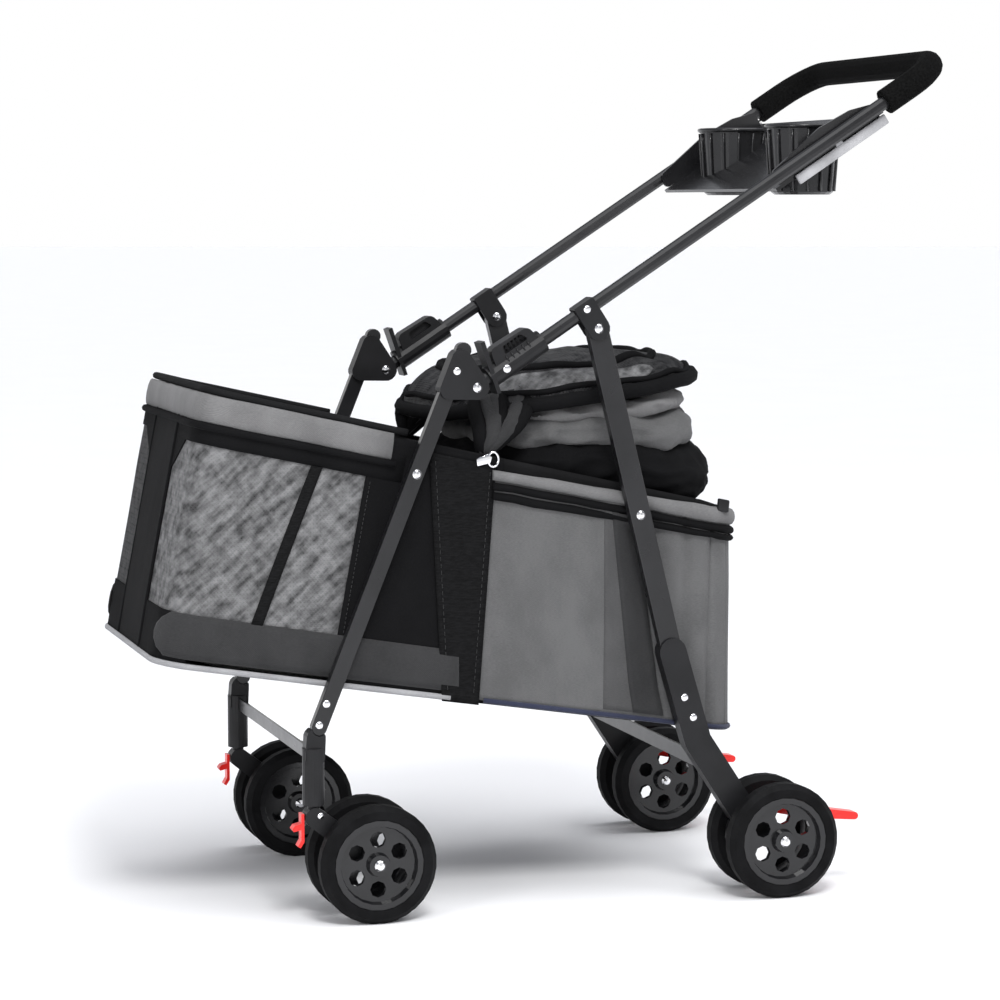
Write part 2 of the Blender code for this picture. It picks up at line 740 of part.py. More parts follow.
def rear_foot(name, y, group, cutters, parent):
    """A plastic foot that sleeves the rear leg and bends back to the rear axle."""
    thickness = 0.019
    knee = (-0.156, 0.186)
    ankle = (-0.213, 0.100)
    axle = (REAR_AXLE_X, AXLE_Z)
    upper = hull(circle(rear_leg_axis(0.292), 0.0165), circle(knee, 0.0165))
    foot = extrusion(name, upper, thickness, side_plane(y), group)
    lower = hull(circle(knee, 0.0163), circle(ankle, 0.0165))
    shin = extrusion(name + "_shin", lower, thickness - 0.0004, side_plane(y), cutters)
    boolean(foot, shin, "UNION")
    toe_outline = hull(circle(ankle, 0.0160), circle(axle, 0.013))
    toe = extrusion(name + "_toe", toe_outline, thickness - 0.0008, side_plane(y), cutters)
    boolean(foot, toe, "UNION")
    lug_outline = hull(circle(ankle, 0.008), circle(PEDAL_PIVOT, 0.006))
    lug = extrusion(name + "_lug", lug_outline, 0.007, side_plane(y), cutters)
    boolean(foot, lug, "UNION")
    leg_room = hull(
        circle(rear_leg_axis(REAR_LEG_END_Z + REAR_LEG_WIDTH / 2), REAR_LEG_WIDTH / 2 + GAP),
        circle(rear_leg_axis(0.36), REAR_LEG_WIDTH / 2 + GAP),
    )
    room_depth = REAR_LEG_THICKNESS + 2 * GAP
    room = extrusion(name + "_leg_room", leg_room, room_depth, side_plane(y), cutters)
    boolean(foot, room, "DIFFERENCE")
    hole = rod(name + "_axle_hole", AXLE_RADIUS + GAP, y - 0.03, y + 0.03, *axle, cutters)
    boolean(foot, hole, "DIFFERENCE")
    finish(foot, "bracket_plastic", parent)


def brake_pedal(name, y, group, cutters, parent):
    """A red tongue between the rear wheels that tips down to brake them."""
    x, z = PEDAL_PIVOT
    outline = hull(
        circle(PEDAL_PIVOT, 0.0080),
        circle((x - 0.055, z - 0.013), 0.0070),
    )
    pedal = extrusion(name, outline, 0.017, side_plane(y), group)
    tip_outline = hull(
        circle((x - 0.055, z - 0.013), 0.0068),
        circle((x - 0.112, z - 0.020), 0.0045),
    )
    tip = extrusion(name + "_tip", tip_outline, 0.0166, side_plane(y), cutters)
    boolean(pedal, tip, "UNION")
    slot_outline = circle(PEDAL_PIVOT, 0.0100, 20)
    slot = extrusion(name + "_slot", slot_outline, 0.0076, side_plane(y), cutters)
    boolean(pedal, slot, "DIFFERENCE")
    finish(pedal, "red_plastic", parent)


def tyre(name, x, y, group, parent):
    half = WHEEL_WIDTH / 2
    inner = WHEEL_RADIUS - TYRE_DEPTH
    profile = [
        (inner, half - 0.0015),
        (WHEEL_RADIUS - 0.006, half),
        (WHEEL_RADIUS, half - 0.0065),
        (WHEEL_RADIUS, -half + 0.0065),
        (WHEEL_RADIUS - 0.006, -half),
        (inner, -half + 0.0015),
    ]
    turn = Matrix.Rotation(math.pi / TYRE_STEPS, 4, "Z")
    obj = turned(name, profile, across(x, AXLE_Z, y) @ turn, group, steps=TYRE_STEPS, ring=True)
    finish(obj, "tyre_rubber", parent)


def hub(name, x, y, group, cutters, parent):
    """A moulded disc with a boss, a raised rim and round windows."""
    rim = (WHEEL_RADIUS - TYRE_DEPTH) * math.cos(math.pi / TYRE_STEPS) - GAP
    half = WHEEL_WIDTH / 2 - 0.002
    bore = AXLE_RADIUS + GAP
    profile = [
        (bore, half + 0.001),
        (0.0120, half + 0.001),
        (0.0140, 0.0035),
        (0.0430, 0.0035),
        (0.0450, half),
        (rim, half),
        (rim, -half),
        (0.0450, -half),
        (0.0430, -0.0035),
        (0.0140, -0.0035),
        (0.0120, -half - 0.001),
        (bore, -half - 0.001),
    ]
    turn = Matrix.Rotation(math.radians(4), 4, "Z")
    obj = turned(name, profile, across(x, AXLE_Z, y) @ turn, group, steps=HUB_STEPS, ring=True)
    for step in range(HUB_WINDOWS):
        turn = 2 * math.pi * (step + 0.5) / HUB_WINDOWS
        window_x = x + 0.0285 * math.cos(turn)
        window_z = AXLE_Z + 0.0285 * math.sin(turn)
        window = rod(name + "_window", 0.0095, y - 0.02, y + 0.02, window_x, window_z, cutters, sides=8)
        boolean(obj, window, "DIFFERENCE")
    finish(obj, "hub_plastic", parent)


def axle(name, x, y, group, parent):
    """A rod through both wheels of a twin, with a domed cap at each end."""
    shank = TWIN_OFFSET + WHEEL_WIDTH / 2 + 0.0002
    cap = 0.0065
    profile = [
        (0, shank + 0.0032),
        (cap * 0.7, shank + 0.0022),
        (cap, shank),
        (AXLE_RADIUS, shank),
    ]
    profile += [(radius, -height) for radius, height in reversed(profile)]
    obj = turned(name, profile, across(x, AXLE_Z, y), group, steps=12)
    finish(obj, "chrome", parent)


def cross_bar(name, x, z, half_length, height, group, parent):
    bar = box(name, (-0.0015, -half_length, -height / 2), (0.0015, half_length, height / 2), group)
    bar.location = (x, 0, z)
    bpy.context.view_layer.update()
    finish(bar, "frame_tube", parent)


# ---- fabric ----

def basket_ring(height_share, inset=0.0, count=5):
    """A round-cornered loop of the basket, at a share of the way from floor to rim."""
    front_x = BASKET_FLOOR_FRONT[0] + (BASKET_RIM_FRONT[0] - BASKET_FLOOR_FRONT[0]) * height_share
    rear_x = BASKET_FLOOR_REAR[0] + (BASKET_RIM_REAR[0] - BASKET_FLOOR_REAR[0]) * height_share
    points = []
    corners = (
        (front_x, BASKET_NOSE_HALF_WIDTH, 0),
        (rear_x, BASKET_HALF_WIDTH, 90),
        (rear_x, -BASKET_HALF_WIDTH, 180),
        (front_x, -BASKET_NOSE_HALF_WIDTH, 270),
    )
    for x, y, start in corners:
        sx = 1 if x > 0 else -1
        sy = 1 if y > 0 else -1
        centre_x = x - sx * BASKET_CORNER
        centre_y = y - sy * BASKET_CORNER
        reach = BASKET_CORNER - inset
        for step in range(count):
            turn = math.radians(start + 90 * step / (count - 1))
            points.append((centre_x + reach * math.cos(turn), centre_y + reach * math.sin(turn)))
        if x > 0 and y > 0:
            points.append((0.25, BASKET_HALF_WIDTH - inset))
        if x < 0 and y < 0:
            points.append((0.25, -BASKET_HALF_WIDTH + inset))
    ring = []
    for px, py in points:
        low = floor_z(px)
        ring.append((px, py, low + (rim_z(px) - low) * height_share))
    return ring


def basket(group, cutters, parent):
    """An open-topped fabric tub: a loft of loops with a floor, given its thickness inwards."""
    work = bmesh.new()
    shares = (0.0, 0.35, 0.7, 1.0)
    rings = [[work.verts.new(point) for point in basket_ring(share)] for share in shares]
    work.faces.new(list(reversed(rings[0])))
    for lower, upper in zip(rings, rings[1:]):
        bmesh.ops.bridge_loops(work, edges=loop_edges(work, lower) + loop_edges(work, upper))
    bmesh.ops.recalc_face_normals(work, faces=work.faces)
    mesh = bpy.data.meshes.new("pet_basket")
    work.to_mesh(mesh)
    work.free()
    tub = bpy.data.objects.new("pet_basket", mesh)
    group.objects.link(tub)
    shell = tub.modifiers.new("wall", "SOLIDIFY")
    shell.thickness = BASKET_WALL
    shell.offset = -1.0
    shell.use_even_offset = True
    for side in (1, -1):
        y = side * BASKET_HALF_WIDTH
        for place in (LEG_PIVOT, REAR_LEG_PIN):
            hole = rod("basket_pin_hole", 0.0055, y - 0.01, y + 0.01, *place, cutters)
            boolean(tub, hole, "DIFFERENCE")
    finish(tub, "basket_fabric", parent)


def loop_edges(work, verts):
    """The edges of a closed loop of vertices, made where they are missing."""
    edges = []
    for first, second in zip(verts, verts[1:] + verts[:1]):
        found = work.edges.get((first, second))
        edges.append(found or work.edges.new((first, second)))
    return edges


def floor_pad(group, parent):
    """The padded mat that lies on the basket's floor."""
    slope = math.atan2(
        BASKET_FLOOR_FRONT[1] - BASKET_FLOOR_REAR[1], BASKET_FLOOR_FRONT[0] - BASKET_FLOOR_REAR[0]
    )
    x = 0.126
    z = floor_z(x) + BASKET_WALL + 0.001 + FLOOR_PAD_THICKNESS / 2
    outline = rounded_box(0.325, 0.170, 0.035)
    place = Matrix.Translation((x, 0, z)) @ Matrix.Rotation(-slope, 4, "Y")
    pad = extrusion("floor_pad", outline, FLOOR_PAD_THICKNESS, place, group)
    finish(pad, "pad_fabric", parent)


def canopy_ring(share, count=5):
    """A round-cornered loop of the folded canopy, from the rim at 0 to the top at 1."""
    lean = 0.012 * share
    tuck = 0.055 * max(0.0, share - 0.8) / 0.2
    front_x = CANOPY_FRONT_X - 0.030 * share - tuck
    rear_x = CANOPY_REAR_X + lean + tuck
    half = CANOPY_HALF_WIDTH - 0.010 * share - tuck
    corner = 0.05
    ring = []
    for sx, sy, start in ((1, 1, 0), (-1, 1, 90), (-1, -1, 180), (1, -1, 270)):
        x = (front_x if sx > 0 else rear_x) - sx * corner
        y = sy * (half - corner)
        for step in range(count):
            turn = math.radians(start + 90 * step / (count - 1))
            px = x + corner * math.cos(turn)
            low = rim_z(px) + 0.002
            z = low + (CANOPY_TOP_Z - low) * share
            ring.append((px, y + corner * math.sin(turn), z))
    return ring


def canopy(group, parent):
    """The canopy folded down into a stack on the rear of the rim."""
    work = bmesh.new()
    shares = (0.0, 0.45, 0.8, 0.93, 1.0)
    rings = [[work.verts.new(point) for point in canopy_ring(share)] for share in shares]
    work.faces.new(list(reversed(rings[0])))
    work.faces.new(rings[-1])
    for lower, upper in zip(rings, rings[1:]):
        bmesh.ops.bridge_loops(work, edges=loop_edges(work, lower) + loop_edges(work, upper))
    bmesh.ops.recalc_face_normals(work, faces=work.faces)
    mesh = bpy.data.meshes.new("folded_canopy")
    work.to_mesh(mesh)
    work.free()
    stack = bpy.data.objects.new("folded_canopy", mesh)
    group.objects.link(stack)
    finish(stack, "canopy_fabric", parent)


# ---- assembly ----

def build():
    clear_scene()
    group = new_collection("pet_stroller")
    cutters = new_collection("cutters")
    frame = pivot("frame_root", 0, 0, 0, group)
    front_legs = pivot("front_legs_pivot", LEG_PIVOT[0], 0, LEG_PIVOT[1], group)
    handle_root = pivot("handle_pivot", HANDLE_PIVOT[0], 0, HANDLE_PIVOT[1], group)
    rear_legs = pivot("rear_legs_pivot", REAR_LEG_PIVOT[0], 0, REAR_LEG_PIVOT[1], group)

    front_bumper(group, frame)
    rail_cross_bar(group, frame)
    basket(group, cutters, frame)
    floor_pad(group, frame)
    canopy(group, frame)
    handle(group, cutters, handle_root)
    cup_tray(group, cutters, handle_root)
    cross_bar("front_cross_bar", STEM_X, 0.190, LEG_Y - 0.0131, 0.015, group, front_legs)
    cross_bar("rear_cross_bar", -0.163, 0.160, LEG_Y - 0.0099, 0.017, group, rear_legs)

    half = BRACKET_THICKNESS / 2
    for side, word in ((1, "left"), (-1, "right")):
        y = side * LEG_Y
        side_rail("side_rail_" + word, side * RAIL_Y, group, cutters, frame)
        front_leg("front_leg_" + word, y, group, cutters, front_legs)
        front_bracket("front_bracket_" + word, y, group, cutters, front_legs)
        front_foot("front_foot_" + word, y, group, cutters, front_legs)
        rail_inner = side * (RAIL_Y - RAIL_THICKNESS / 2)
        leg_outer = side * (LEG_Y + FRONT_LEG_THICKNESS / 2)
        rivet("leg_pivot_rivet_" + word, *LEG_PIVOT, rail_inner, leg_outer, group, front_legs)
        rivet("handle_pivot_rivet_" + word, *HANDLE_PIVOT, y - half, y + half, group, front_legs)
        rivet("rear_leg_rivet_" + word, *REAR_LEG_PIVOT, y - half, y + half, group, handle_root)
        rear_bracket("rear_bracket_" + word, y, group, cutters, handle_root)
        rear_leg("rear_leg_" + word, y, group, cutters, rear_legs)
        rear_foot("rear_foot_" + word, y, group, cutters, rear_legs)
        pin_inner = side * (LEG_Y - REAR_LEG_THICKNESS / 2)
        pin_outer = side * (LEG_Y + REAR_LEG_THICKNESS / 2)
        rivet("rail_pivot_rivet_" + word, *REAR_LEG_PIN, pin_inner, pin_outer, group, rear_legs, heads=1)

        slider_x, slider_z = on_handle(SLIDER_START)
        slider_root = pivot("slider_pivot_" + word, slider_x, y, slider_z, group)
        latch_slider("latch_slider_" + word, y, group, cutters, slider_root)
        pedal_root = pivot("pedal_pivot_" + word, PEDAL_PIVOT[0], y, PEDAL_PIVOT[1], group)
        brake_pedal("brake_pedal_" + word, y, group, cutters, pedal_root)
        lock_root = pivot("lock_pivot_" + word, STEM_X, y, 0.110, group)
        swivel_lock("swivel_lock_" + word, y, group, lock_root)
        caster_root = pivot("caster_pivot_" + word, STEM_X, y, AXLE_Z, group)
        caster_fork("caster_fork_" + word, y, group, cutters, caster_root)

        for place, axle_x, middle, parent in (
            ("front", FRONT_AXLE_X, side * FRONT_TWIN_Y, caster_root),
            ("rear", REAR_AXLE_X, side * REAR_TWIN_Y, rear_legs),
        ):
            label = place + "_" + word
            axle("axle_" + label, axle_x, middle, group, parent)
            for where, offset in (("inner", -TWIN_OFFSET), ("outer", TWIN_OFFSET)):
                wheel_y = middle + side * offset
                wheel_name = label + "_" + where
                wheel_root = pivot("wheel_pivot_" + wheel_name, axle_x, wheel_y, AXLE_Z, group)
                tyre("tyre_" + wheel_name, axle_x, wheel_y, group, wheel_root)
                hub("hub_" + wheel_name, axle_x, wheel_y, group, cutters, wheel_root)
    bpy.context.view_layer.update()


build()
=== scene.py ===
"""Looks of the folding pet stroller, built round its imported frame.

Metres, in the row frame: +X rolls forward, +Y is the stroller's own left and +Z is up. Places in
the side view are (x, z) pairs. The basket's panels are grids on its wall, the mat and the folded
hood are puffed by a cloth simulation, and every finish is procedural.
"""

import math

import bmesh
import bpy
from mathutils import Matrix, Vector, noise


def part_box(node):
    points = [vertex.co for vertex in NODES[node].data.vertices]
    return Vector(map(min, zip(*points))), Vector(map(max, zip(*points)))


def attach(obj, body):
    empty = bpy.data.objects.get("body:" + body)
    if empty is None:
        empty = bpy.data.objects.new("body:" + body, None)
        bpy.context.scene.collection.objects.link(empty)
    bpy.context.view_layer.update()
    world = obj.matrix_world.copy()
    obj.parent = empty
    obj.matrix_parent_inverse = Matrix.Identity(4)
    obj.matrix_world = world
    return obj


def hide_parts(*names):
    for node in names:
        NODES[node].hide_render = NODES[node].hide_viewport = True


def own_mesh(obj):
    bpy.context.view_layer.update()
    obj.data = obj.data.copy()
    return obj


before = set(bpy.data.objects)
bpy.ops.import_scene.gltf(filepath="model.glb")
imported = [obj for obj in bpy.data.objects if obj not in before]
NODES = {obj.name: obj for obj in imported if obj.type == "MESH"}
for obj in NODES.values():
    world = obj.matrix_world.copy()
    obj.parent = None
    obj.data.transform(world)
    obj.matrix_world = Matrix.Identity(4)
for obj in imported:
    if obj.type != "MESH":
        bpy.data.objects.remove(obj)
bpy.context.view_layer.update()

# ---- driving dimensions, the same as the frame's ----

HANDLE_PIVOT = (0.113, 0.604)
FRONT_FASTENER = (0.137, 0.623)
HANDLE_ANGLE = math.radians(147.0)
LEG_Y = 0.200

FLOOR_FRONT = (0.4773, 0.2994)
FLOOR_REAR = (-0.215, 0.191)
RIM_FRONT = (0.420, 0.601)
RIM_REAR = (-0.214, 0.459)
HALF_WIDTH = 0.1885
NOSE_HALF_WIDTH = 0.182
TAPER_X = 0.25
CORNER = 0.045

SIDES = (1, -1)
SIDE_NAME = {1: "left", -1: "right"}


# ---- small helpers ----


def lerp(a, b, share):
    return a + (b - a) * share


def smooth_step(share):
    share = min(1.0, max(0.0, share))
    return share * share * (3 - 2 * share)


def turns(count):
    """Even angles once round."""
    return [2 * math.pi * step / count for step in range(count)]


def line_z(start, end, x):
    return lerp(start[1], end[1], (x - start[0]) / (end[0] - start[0]))


def rim_z(x):
    return line_z(RIM_REAR, RIM_FRONT, x)


def floor_z(x):
    return line_z(FLOOR_REAR, FLOOR_FRONT, x)


def on_handle(distance, rise=0.0):
    """A side view point a distance up the handle arm, and a rise above its centre line."""
    ahead = Vector((math.cos(HANDLE_ANGLE), math.sin(HANDLE_ANGLE)))
    upper = Vector((ahead.y, -ahead.x))
    place = Vector(HANDLE_PIVOT) + ahead * distance + upper * rise
    return place.x, place.y


def link(obj):
    bpy.context.scene.collection.objects.link(obj)
    return obj


def mesh_object(name, verts, faces):
    mesh = bpy.data.meshes.new(name)
    mesh.from_pydata([tuple(v) for v in verts], [], faces)
    mesh.validate()
    obj = link(bpy.data.objects.new(name, mesh))
    work = bmesh.new()
    work.from_mesh(mesh)
    bmesh.ops.recalc_face_normals(work, faces=work.faces)
    work.to_mesh(mesh)
    work.free()
    mesh.shade_smooth()
    return obj


def evaluated_copy(obj):
    """The object's mesh with its modifiers applied, as new data on the same object."""
    bpy.context.view_layer.update()
    evaluated = obj.evaluated_get(bpy.context.evaluated_depsgraph_get())
    mesh = bpy.data.meshes.new_from_object(evaluated)
    obj.modifiers.clear()
    obj.data = mesh


def paint(obj, material):
    obj.data.materials.clear()
    obj.data.materials.append(material)
    return obj


def add_solidify(obj, thickness):
    step = obj.modifiers.new("thickness", "SOLIDIFY")
    step.thickness = thickness
    step.offset = 0.0


def subdivide(obj):
    """Smooths the mesh once, for good."""
    step = obj.modifiers.new("smooth", "SUBSURF")
    step.levels = 1
    step.render_levels = 1
    evaluated_copy(obj)


def grid(name, rows, material, closed=False, wrap=False, caps=False):
    """A sheet through rows of points. closed joins each row's ends, wrap the last row to the first."""
    width = len(rows[0])
    count = len(rows)
    faces = []
    for row in range(count if wrap else count - 1):
        low = row * width
        high = (row + 1) % count * width
        for j in range(width if closed else width - 1):
            k = (j + 1) % width
            faces.append((low + j, low + k, high + k, high + j))
    if caps:
        faces.append(tuple(range(width)))
        faces.append(tuple(range((count - 1) * width, count * width)))
    return paint(mesh_object(name, [point for row in rows for point in row], faces), material)


def tube(name, points, radius, material, cyclic=False, flat=1.0, sides=8):
    """A round or flattened cord of cloth or plastic along points, as a closed mesh."""
    count = len(points)
    places = [Vector(p) for p in points]
    rings = []
    across = None
    for index, place in enumerate(places):
        before = places[index - 1] if index or cyclic else place
        after = places[(index + 1) % count] if index < count - 1 or cyclic else place
        ahead = (after - before).normalized()
        if across is None:
            across = ahead.orthogonal().normalized()
            if abs(ahead.z) < 0.9:
                across = ahead.cross(Vector((0, 0, 1))).normalized()
        across = (across - ahead * across.dot(ahead)).normalized()
        upper = ahead.cross(across).normalized()
        rings.append([
            place + across * radius * flat * math.cos(turn) + upper * radius * math.sin(turn)
            for turn in turns(sides)
        ])
    return grid(name, rings, material, closed=True, wrap=cyclic, caps=not cyclic)


def joined(name, parts):
    """One object from several, with their materials."""
    bpy.context.view_layer.update()
    for part in bpy.context.selected_objects:
        part.select_set(False)
    for part in parts:
        part.select_set(True)
    bpy.context.view_layer.objects.active = parts[0]
    bpy.ops.object.join()
    whole = bpy.context.view_layer.objects.active
    whole.name = name
    whole.select_set(False)
    return whole


# ---- materials ----


class Finish:
    """A Principled material with a few procedural layers over the row frame's coordinates."""

    def __init__(self, name, colour, roughness, metallic=0.0):
        self.material = bpy.data.materials.new(name)
        self.material.use_nodes = True
        self.tree = self.material.node_tree
        self.shader = self.tree.nodes["Principled BSDF"]
        self.shader.inputs["Metallic"].default_value = metallic
        self.shader.inputs["Roughness"].default_value = roughness
        self.shader.inputs["Base Color"].default_value = (*colour, 1.0)
        self.colour = colour
        self.roughness = roughness
        self.bump = None
        self.place = self.tree.nodes.new("ShaderNodeTexCoord").outputs["Object"]

    def node(self, kind, inputs, **values):
        """A new node with its settings, and its inputs set or joined."""
        made = self.tree.nodes.new(kind)
        for key, value in values.items():
            setattr(made, key, value)
        for key, value in inputs.items():
            if isinstance(value, bpy.types.NodeSocket):
                self.tree.links.new(value, made.inputs[key])
            else:
                made.inputs[key].default_value = value
        return made

    def join(self, source, name):
        self.tree.links.new(source, self.shader.inputs[name])

    def set(self, name, value):
        self.shader.inputs[name].default_value = value

    def mapped(self, scale=(1, 1, 1), turn=(0, 0, 0), kind="POINT"):
        inputs = {"Scale": scale, "Rotation": turn, "Vector": self.place}
        return self.node("ShaderNodeMapping", inputs, vector_type=kind).outputs["Vector"]

    def noise(self, scale, detail=3.0, stretch=(1, 1, 1), rough=0.5, place=None):
        if place is None:
            place = self.mapped(stretch)
        inputs = {"Scale": scale, "Detail": detail, "Roughness": rough, "Vector": place}
        return self.node("ShaderNodeTexNoise", inputs).outputs["Fac"]

    def slanted_noise(self, scale, lengths, slant):
        """Soft streaks that run along one direction in the side view, slanting up rearwards."""
        return self.noise(scale, 2.0, place=self.mapped(lengths, (0, slant, 0), "TEXTURE"))

    def wave(self, pitch, direction, turn=(0, 0, 0)):
        """Even ridges across one axis, a pitch apart."""
        inputs = {"Scale": 0.314 / pitch, "Distortion": 0.0, "Vector": self.mapped(turn=turn)}
        node = self.node("ShaderNodeTexWave", inputs, wave_type="BANDS", bands_direction=direction)
        return node.outputs["Fac"]

    def math(self, operation, first, second):
        return self.node("ShaderNodeMath", {0: first, 1: second}, operation=operation).outputs[0]

    def ramp(self, factor, stops):
        node = self.node("ShaderNodeValToRGB", {"Fac": factor})
        for element, (position, colour) in zip(node.color_ramp.elements, stops):
            element.position = position
            element.color = (*colour, 1.0)
        return node.outputs["Color"]

    def vary(self, factor, amount, low=0.35, high=0.65):
        """Lighter and darker patches of the base colour, by a noise factor."""
        dark = tuple(c * (1 - amount) for c in self.colour)
        light = tuple(min(1.0, c * (1 + amount)) for c in self.colour)
        self.join(self.ramp(factor, [(low, dark), (high, light)]), "Base Color")

    def vary_roughness(self, factor, amount):
        low = max(0.02, self.roughness - amount)
        high = min(1.0, self.roughness + amount)
        node = self.node("ShaderNodeMapRange", {"To Min": low, "To Max": high, "Value": factor})
        self.join(node.outputs["Result"], "Roughness")

    def raise_by(self, height, distance, strength=1.0):
        """Adds a bump from a height factor; later ones lie on top of earlier ones."""
        inputs = {"Distance": distance, "Strength": strength, "Height": height}
        if self.bump:
            inputs["Normal"] = self.bump
        self.bump = self.node("ShaderNodeBump", inputs).outputs["Normal"]
        self.join(self.bump, "Normal")


def woven(name, colour, pitch=0.0012, sheen=0.10):
    """A plain weave: two sets of threads at right angles, with slubs and uneven dye."""
    cloth = Finish(name, colour, 0.88)
    cloth.set("Sheen Weight", sheen)
    cloth.set("Sheen Roughness", 0.45)
    cloth.set("Specular IOR Level", 0.08)
    warp = cloth.wave(pitch, "DIAGONAL")
    weft = cloth.wave(pitch, "Z")
    threads = cloth.math("MAXIMUM", warp, weft)
    slubs = cloth.noise(340, 2.0, (1, 1, 5))
    mottle = cloth.noise(24, 4.0, (1, 1, 0.6))
    mixed = cloth.math("ADD", cloth.math("MULTIPLY", slubs, 0.45), cloth.math("MULTIPLY", mottle, 0.55))
    cloth.vary(mixed, 0.16, 0.38, 0.62)
    cloth.raise_by(threads, 0.00025, 0.8)
    cloth.raise_by(cloth.noise(60, 3.0), 0.0008, 0.5)
    return cloth.material


def moulded(name, colour, roughness, coat=0.0):
    """Moulded plastic: a fine grain, slight flow marks and an uneven shine."""
    plastic = Finish(name, colour, roughness)
    plastic.set("Specular IOR Level", 0.25)
    if coat:
        plastic.set("Coat Weight", coat)
        plastic.set("Coat Roughness", 0.12)
    plastic.vary(plastic.noise(30, 4.0), 0.18)
    plastic.vary_roughness(plastic.noise(45, 4.0), 0.06)
    plastic.raise_by(plastic.noise(1400, 2.0), 0.00008, 0.7)
    return plastic.material


def make_materials():
    made = {}
    paint_coat = Finish("tube_black", (0.0095, 0.0095, 0.0105), 0.30)
    paint_coat.set("Specular IOR Level", 0.32)
    paint_coat.set("Coat Weight", 0.25)
    paint_coat.set("Coat Roughness", 0.16)
    paint_coat.vary(paint_coat.noise(18, 4.0), 0.25)
    paint_coat.vary_roughness(paint_coat.noise(70, 5.0), 0.07)
    paint_coat.raise_by(paint_coat.noise(900, 2.0), 0.00005, 0.6)
    made["tube"] = paint_coat.material
    made["plastic"] = moulded("plastic_black", (0.010, 0.010, 0.011), 0.40)
    made["tray"] = moulded("tray_black", (0.012, 0.012, 0.013), 0.24, coat=0.35)
    # Pale grey plastic for the tray's side strips: a painted highlight where the black plastic shines with
    # lamp light.
    made["tray_painted_highlight"] = moulded("tray_painted_highlight", (0.36, 0.36, 0.37), 0.38)
    made["hub"] = moulded("hub_black", (0.008, 0.008, 0.009), 0.15, coat=0.5)
    made["red"] = moulded("lever_red", (0.82, 0.018, 0.014), 0.30, coat=0.3)
    foam = Finish("foam_black", (0.0040, 0.0040, 0.0040), 0.95)
    foam.set("Specular IOR Level", 0.06)
    foam.vary(foam.noise(500, 3.0), 0.5)
    foam.raise_by(foam.noise(850, 3.0, rough=0.7), 0.0004, 0.9)
    foam.raise_by(foam.noise(35, 3.0), 0.0008, 0.4)
    made["foam"] = foam.material
    rubber = Finish("tyre_black", (0.0055, 0.0055, 0.006), 0.62)
    rubber.set("Specular IOR Level", 0.08)
    rubber.vary(rubber.noise(40, 4.0), 0.3)
    rubber.vary_roughness(rubber.noise(60, 4.0), 0.1)
    rubber.raise_by(rubber.noise(600, 3.0), 0.00015, 0.8)
    made["rubber"] = rubber.material
    chrome = Finish("chrome", (0.86, 0.86, 0.88), 0.10, 1.0)
    chrome.vary_roughness(chrome.noise(240, 4.0), 0.05)
    chrome.raise_by(chrome.noise(500, 3.0), 0.00003, 0.5)
    made["chrome"] = chrome.material
    made["bar"] = moulded("bar_grey", (0.115, 0.112, 0.115), 0.5)
    cloths = (
        ("grey", "cloth_grey", (0.104, 0.104, 0.105), {}),
        ("grey_band", "cloth_grey_band", (0.150, 0.149, 0.150), {}),
        ("grey_dark", "cloth_grey_dark", (0.034, 0.034, 0.035), {}),
        # The next two cloths are painted shade, used for the darker sheets laid behind the rear leg.
        ("painted_shade_dark", "cloth_painted_shade_dark", (0.034, 0.034, 0.035), {}),
        ("painted_shade_soft", "cloth_painted_shade_soft", (0.072, 0.072, 0.073), {}),
        ("black", "cloth_black", (0.0055, 0.0055, 0.006), {"sheen": 0.0}),
        ("lining", "cloth_lining", (0.010, 0.010, 0.0105), {"sheen": 0.0}),
        ("navy", "cloth_navy", (0.030, 0.034, 0.060), {"sheen": 0.2}),
        ("piping", "piping_light", (0.30, 0.30, 0.31), {"pitch": 0.0009}),
        ("piping_black", "piping_black", (0.0055, 0.0055, 0.006), {"pitch": 0.0009, "sheen": 0.0}),
        ("pad", "pad_cloth", (0.060, 0.060, 0.064), {"sheen": 0.5}),
        ("thread", "thread_grey", (0.035, 0.035, 0.036), {"pitch": 0.0006}),
    )
    for key, name, colour, more in cloths:
        made[key] = woven(name, colour, **more)
    made["webbing"] = webbing_material()
    made["mesh"] = net_material("net_grey", (0.050, 0.050, 0.051), (0.205, 0.205, 0.208), 0.78, 0.97)
    made["mesh_dark"] = net_material("net_black", (0.006, 0.006, 0.007), (0.040, 0.040, 0.041), 0.74, 0.97)
    return made


def webbing_material():
    """Flat woven strap: tight ribs across the strap, with paler edges."""
    strap = Finish("webbing_black", (0.0060, 0.0060, 0.0064), 0.75)
    strap.set("Specular IOR Level", 0.08)
    strap.vary(strap.noise(160, 3.0, (1, 1, 4)), 0.35)
    strap.raise_by(strap.wave(0.0018, "Z"), 0.0004, 0.8)
    strap.raise_by(strap.wave(0.0024, "DIAGONAL"), 0.0002, 0.5)
    return strap.material


def net_material(name, dark, light, low, high):
    """See-through net: threads both ways, with soft slanting streaks of painted sheen in its colour."""
    net = Finish(name, dark, 0.55)
    net.set("Specular IOR Level", 0.1)
    first = net.wave(0.0030, "X", (0, 0.70, 0))
    second = net.wave(0.0030, "X", (0, -0.70, 0))
    third = net.wave(0.0030, "Y", (0.70, 0, 0))
    threads = net.math("MAXIMUM", net.math("MAXIMUM", first, second), third)
    streaks = net.slanted_noise(78, (2.2, 1.0, 0.6), 0.72)
    crossing = net.slanted_noise(95, (1.8, 1.0, 0.6), -0.9)
    # The lighter slanting streaks are painted sheen, mixed into the base colour by the ramp below.
    shine = net.math("ADD", net.math("MULTIPLY", streaks, 0.7), net.math("MULTIPLY", crossing, 0.3))
    net.join(net.ramp(shine, [(0.35, dark), (0.66, light)]), "Base Color")
    alpha = net.node("ShaderNodeMapRange", {"To Min": low, "To Max": high, "Value": threads})
    net.join(alpha.outputs["Result"], "Alpha")
    net.raise_by(threads, 0.0006, 0.8)
    return net.material


MATERIALS = make_materials()


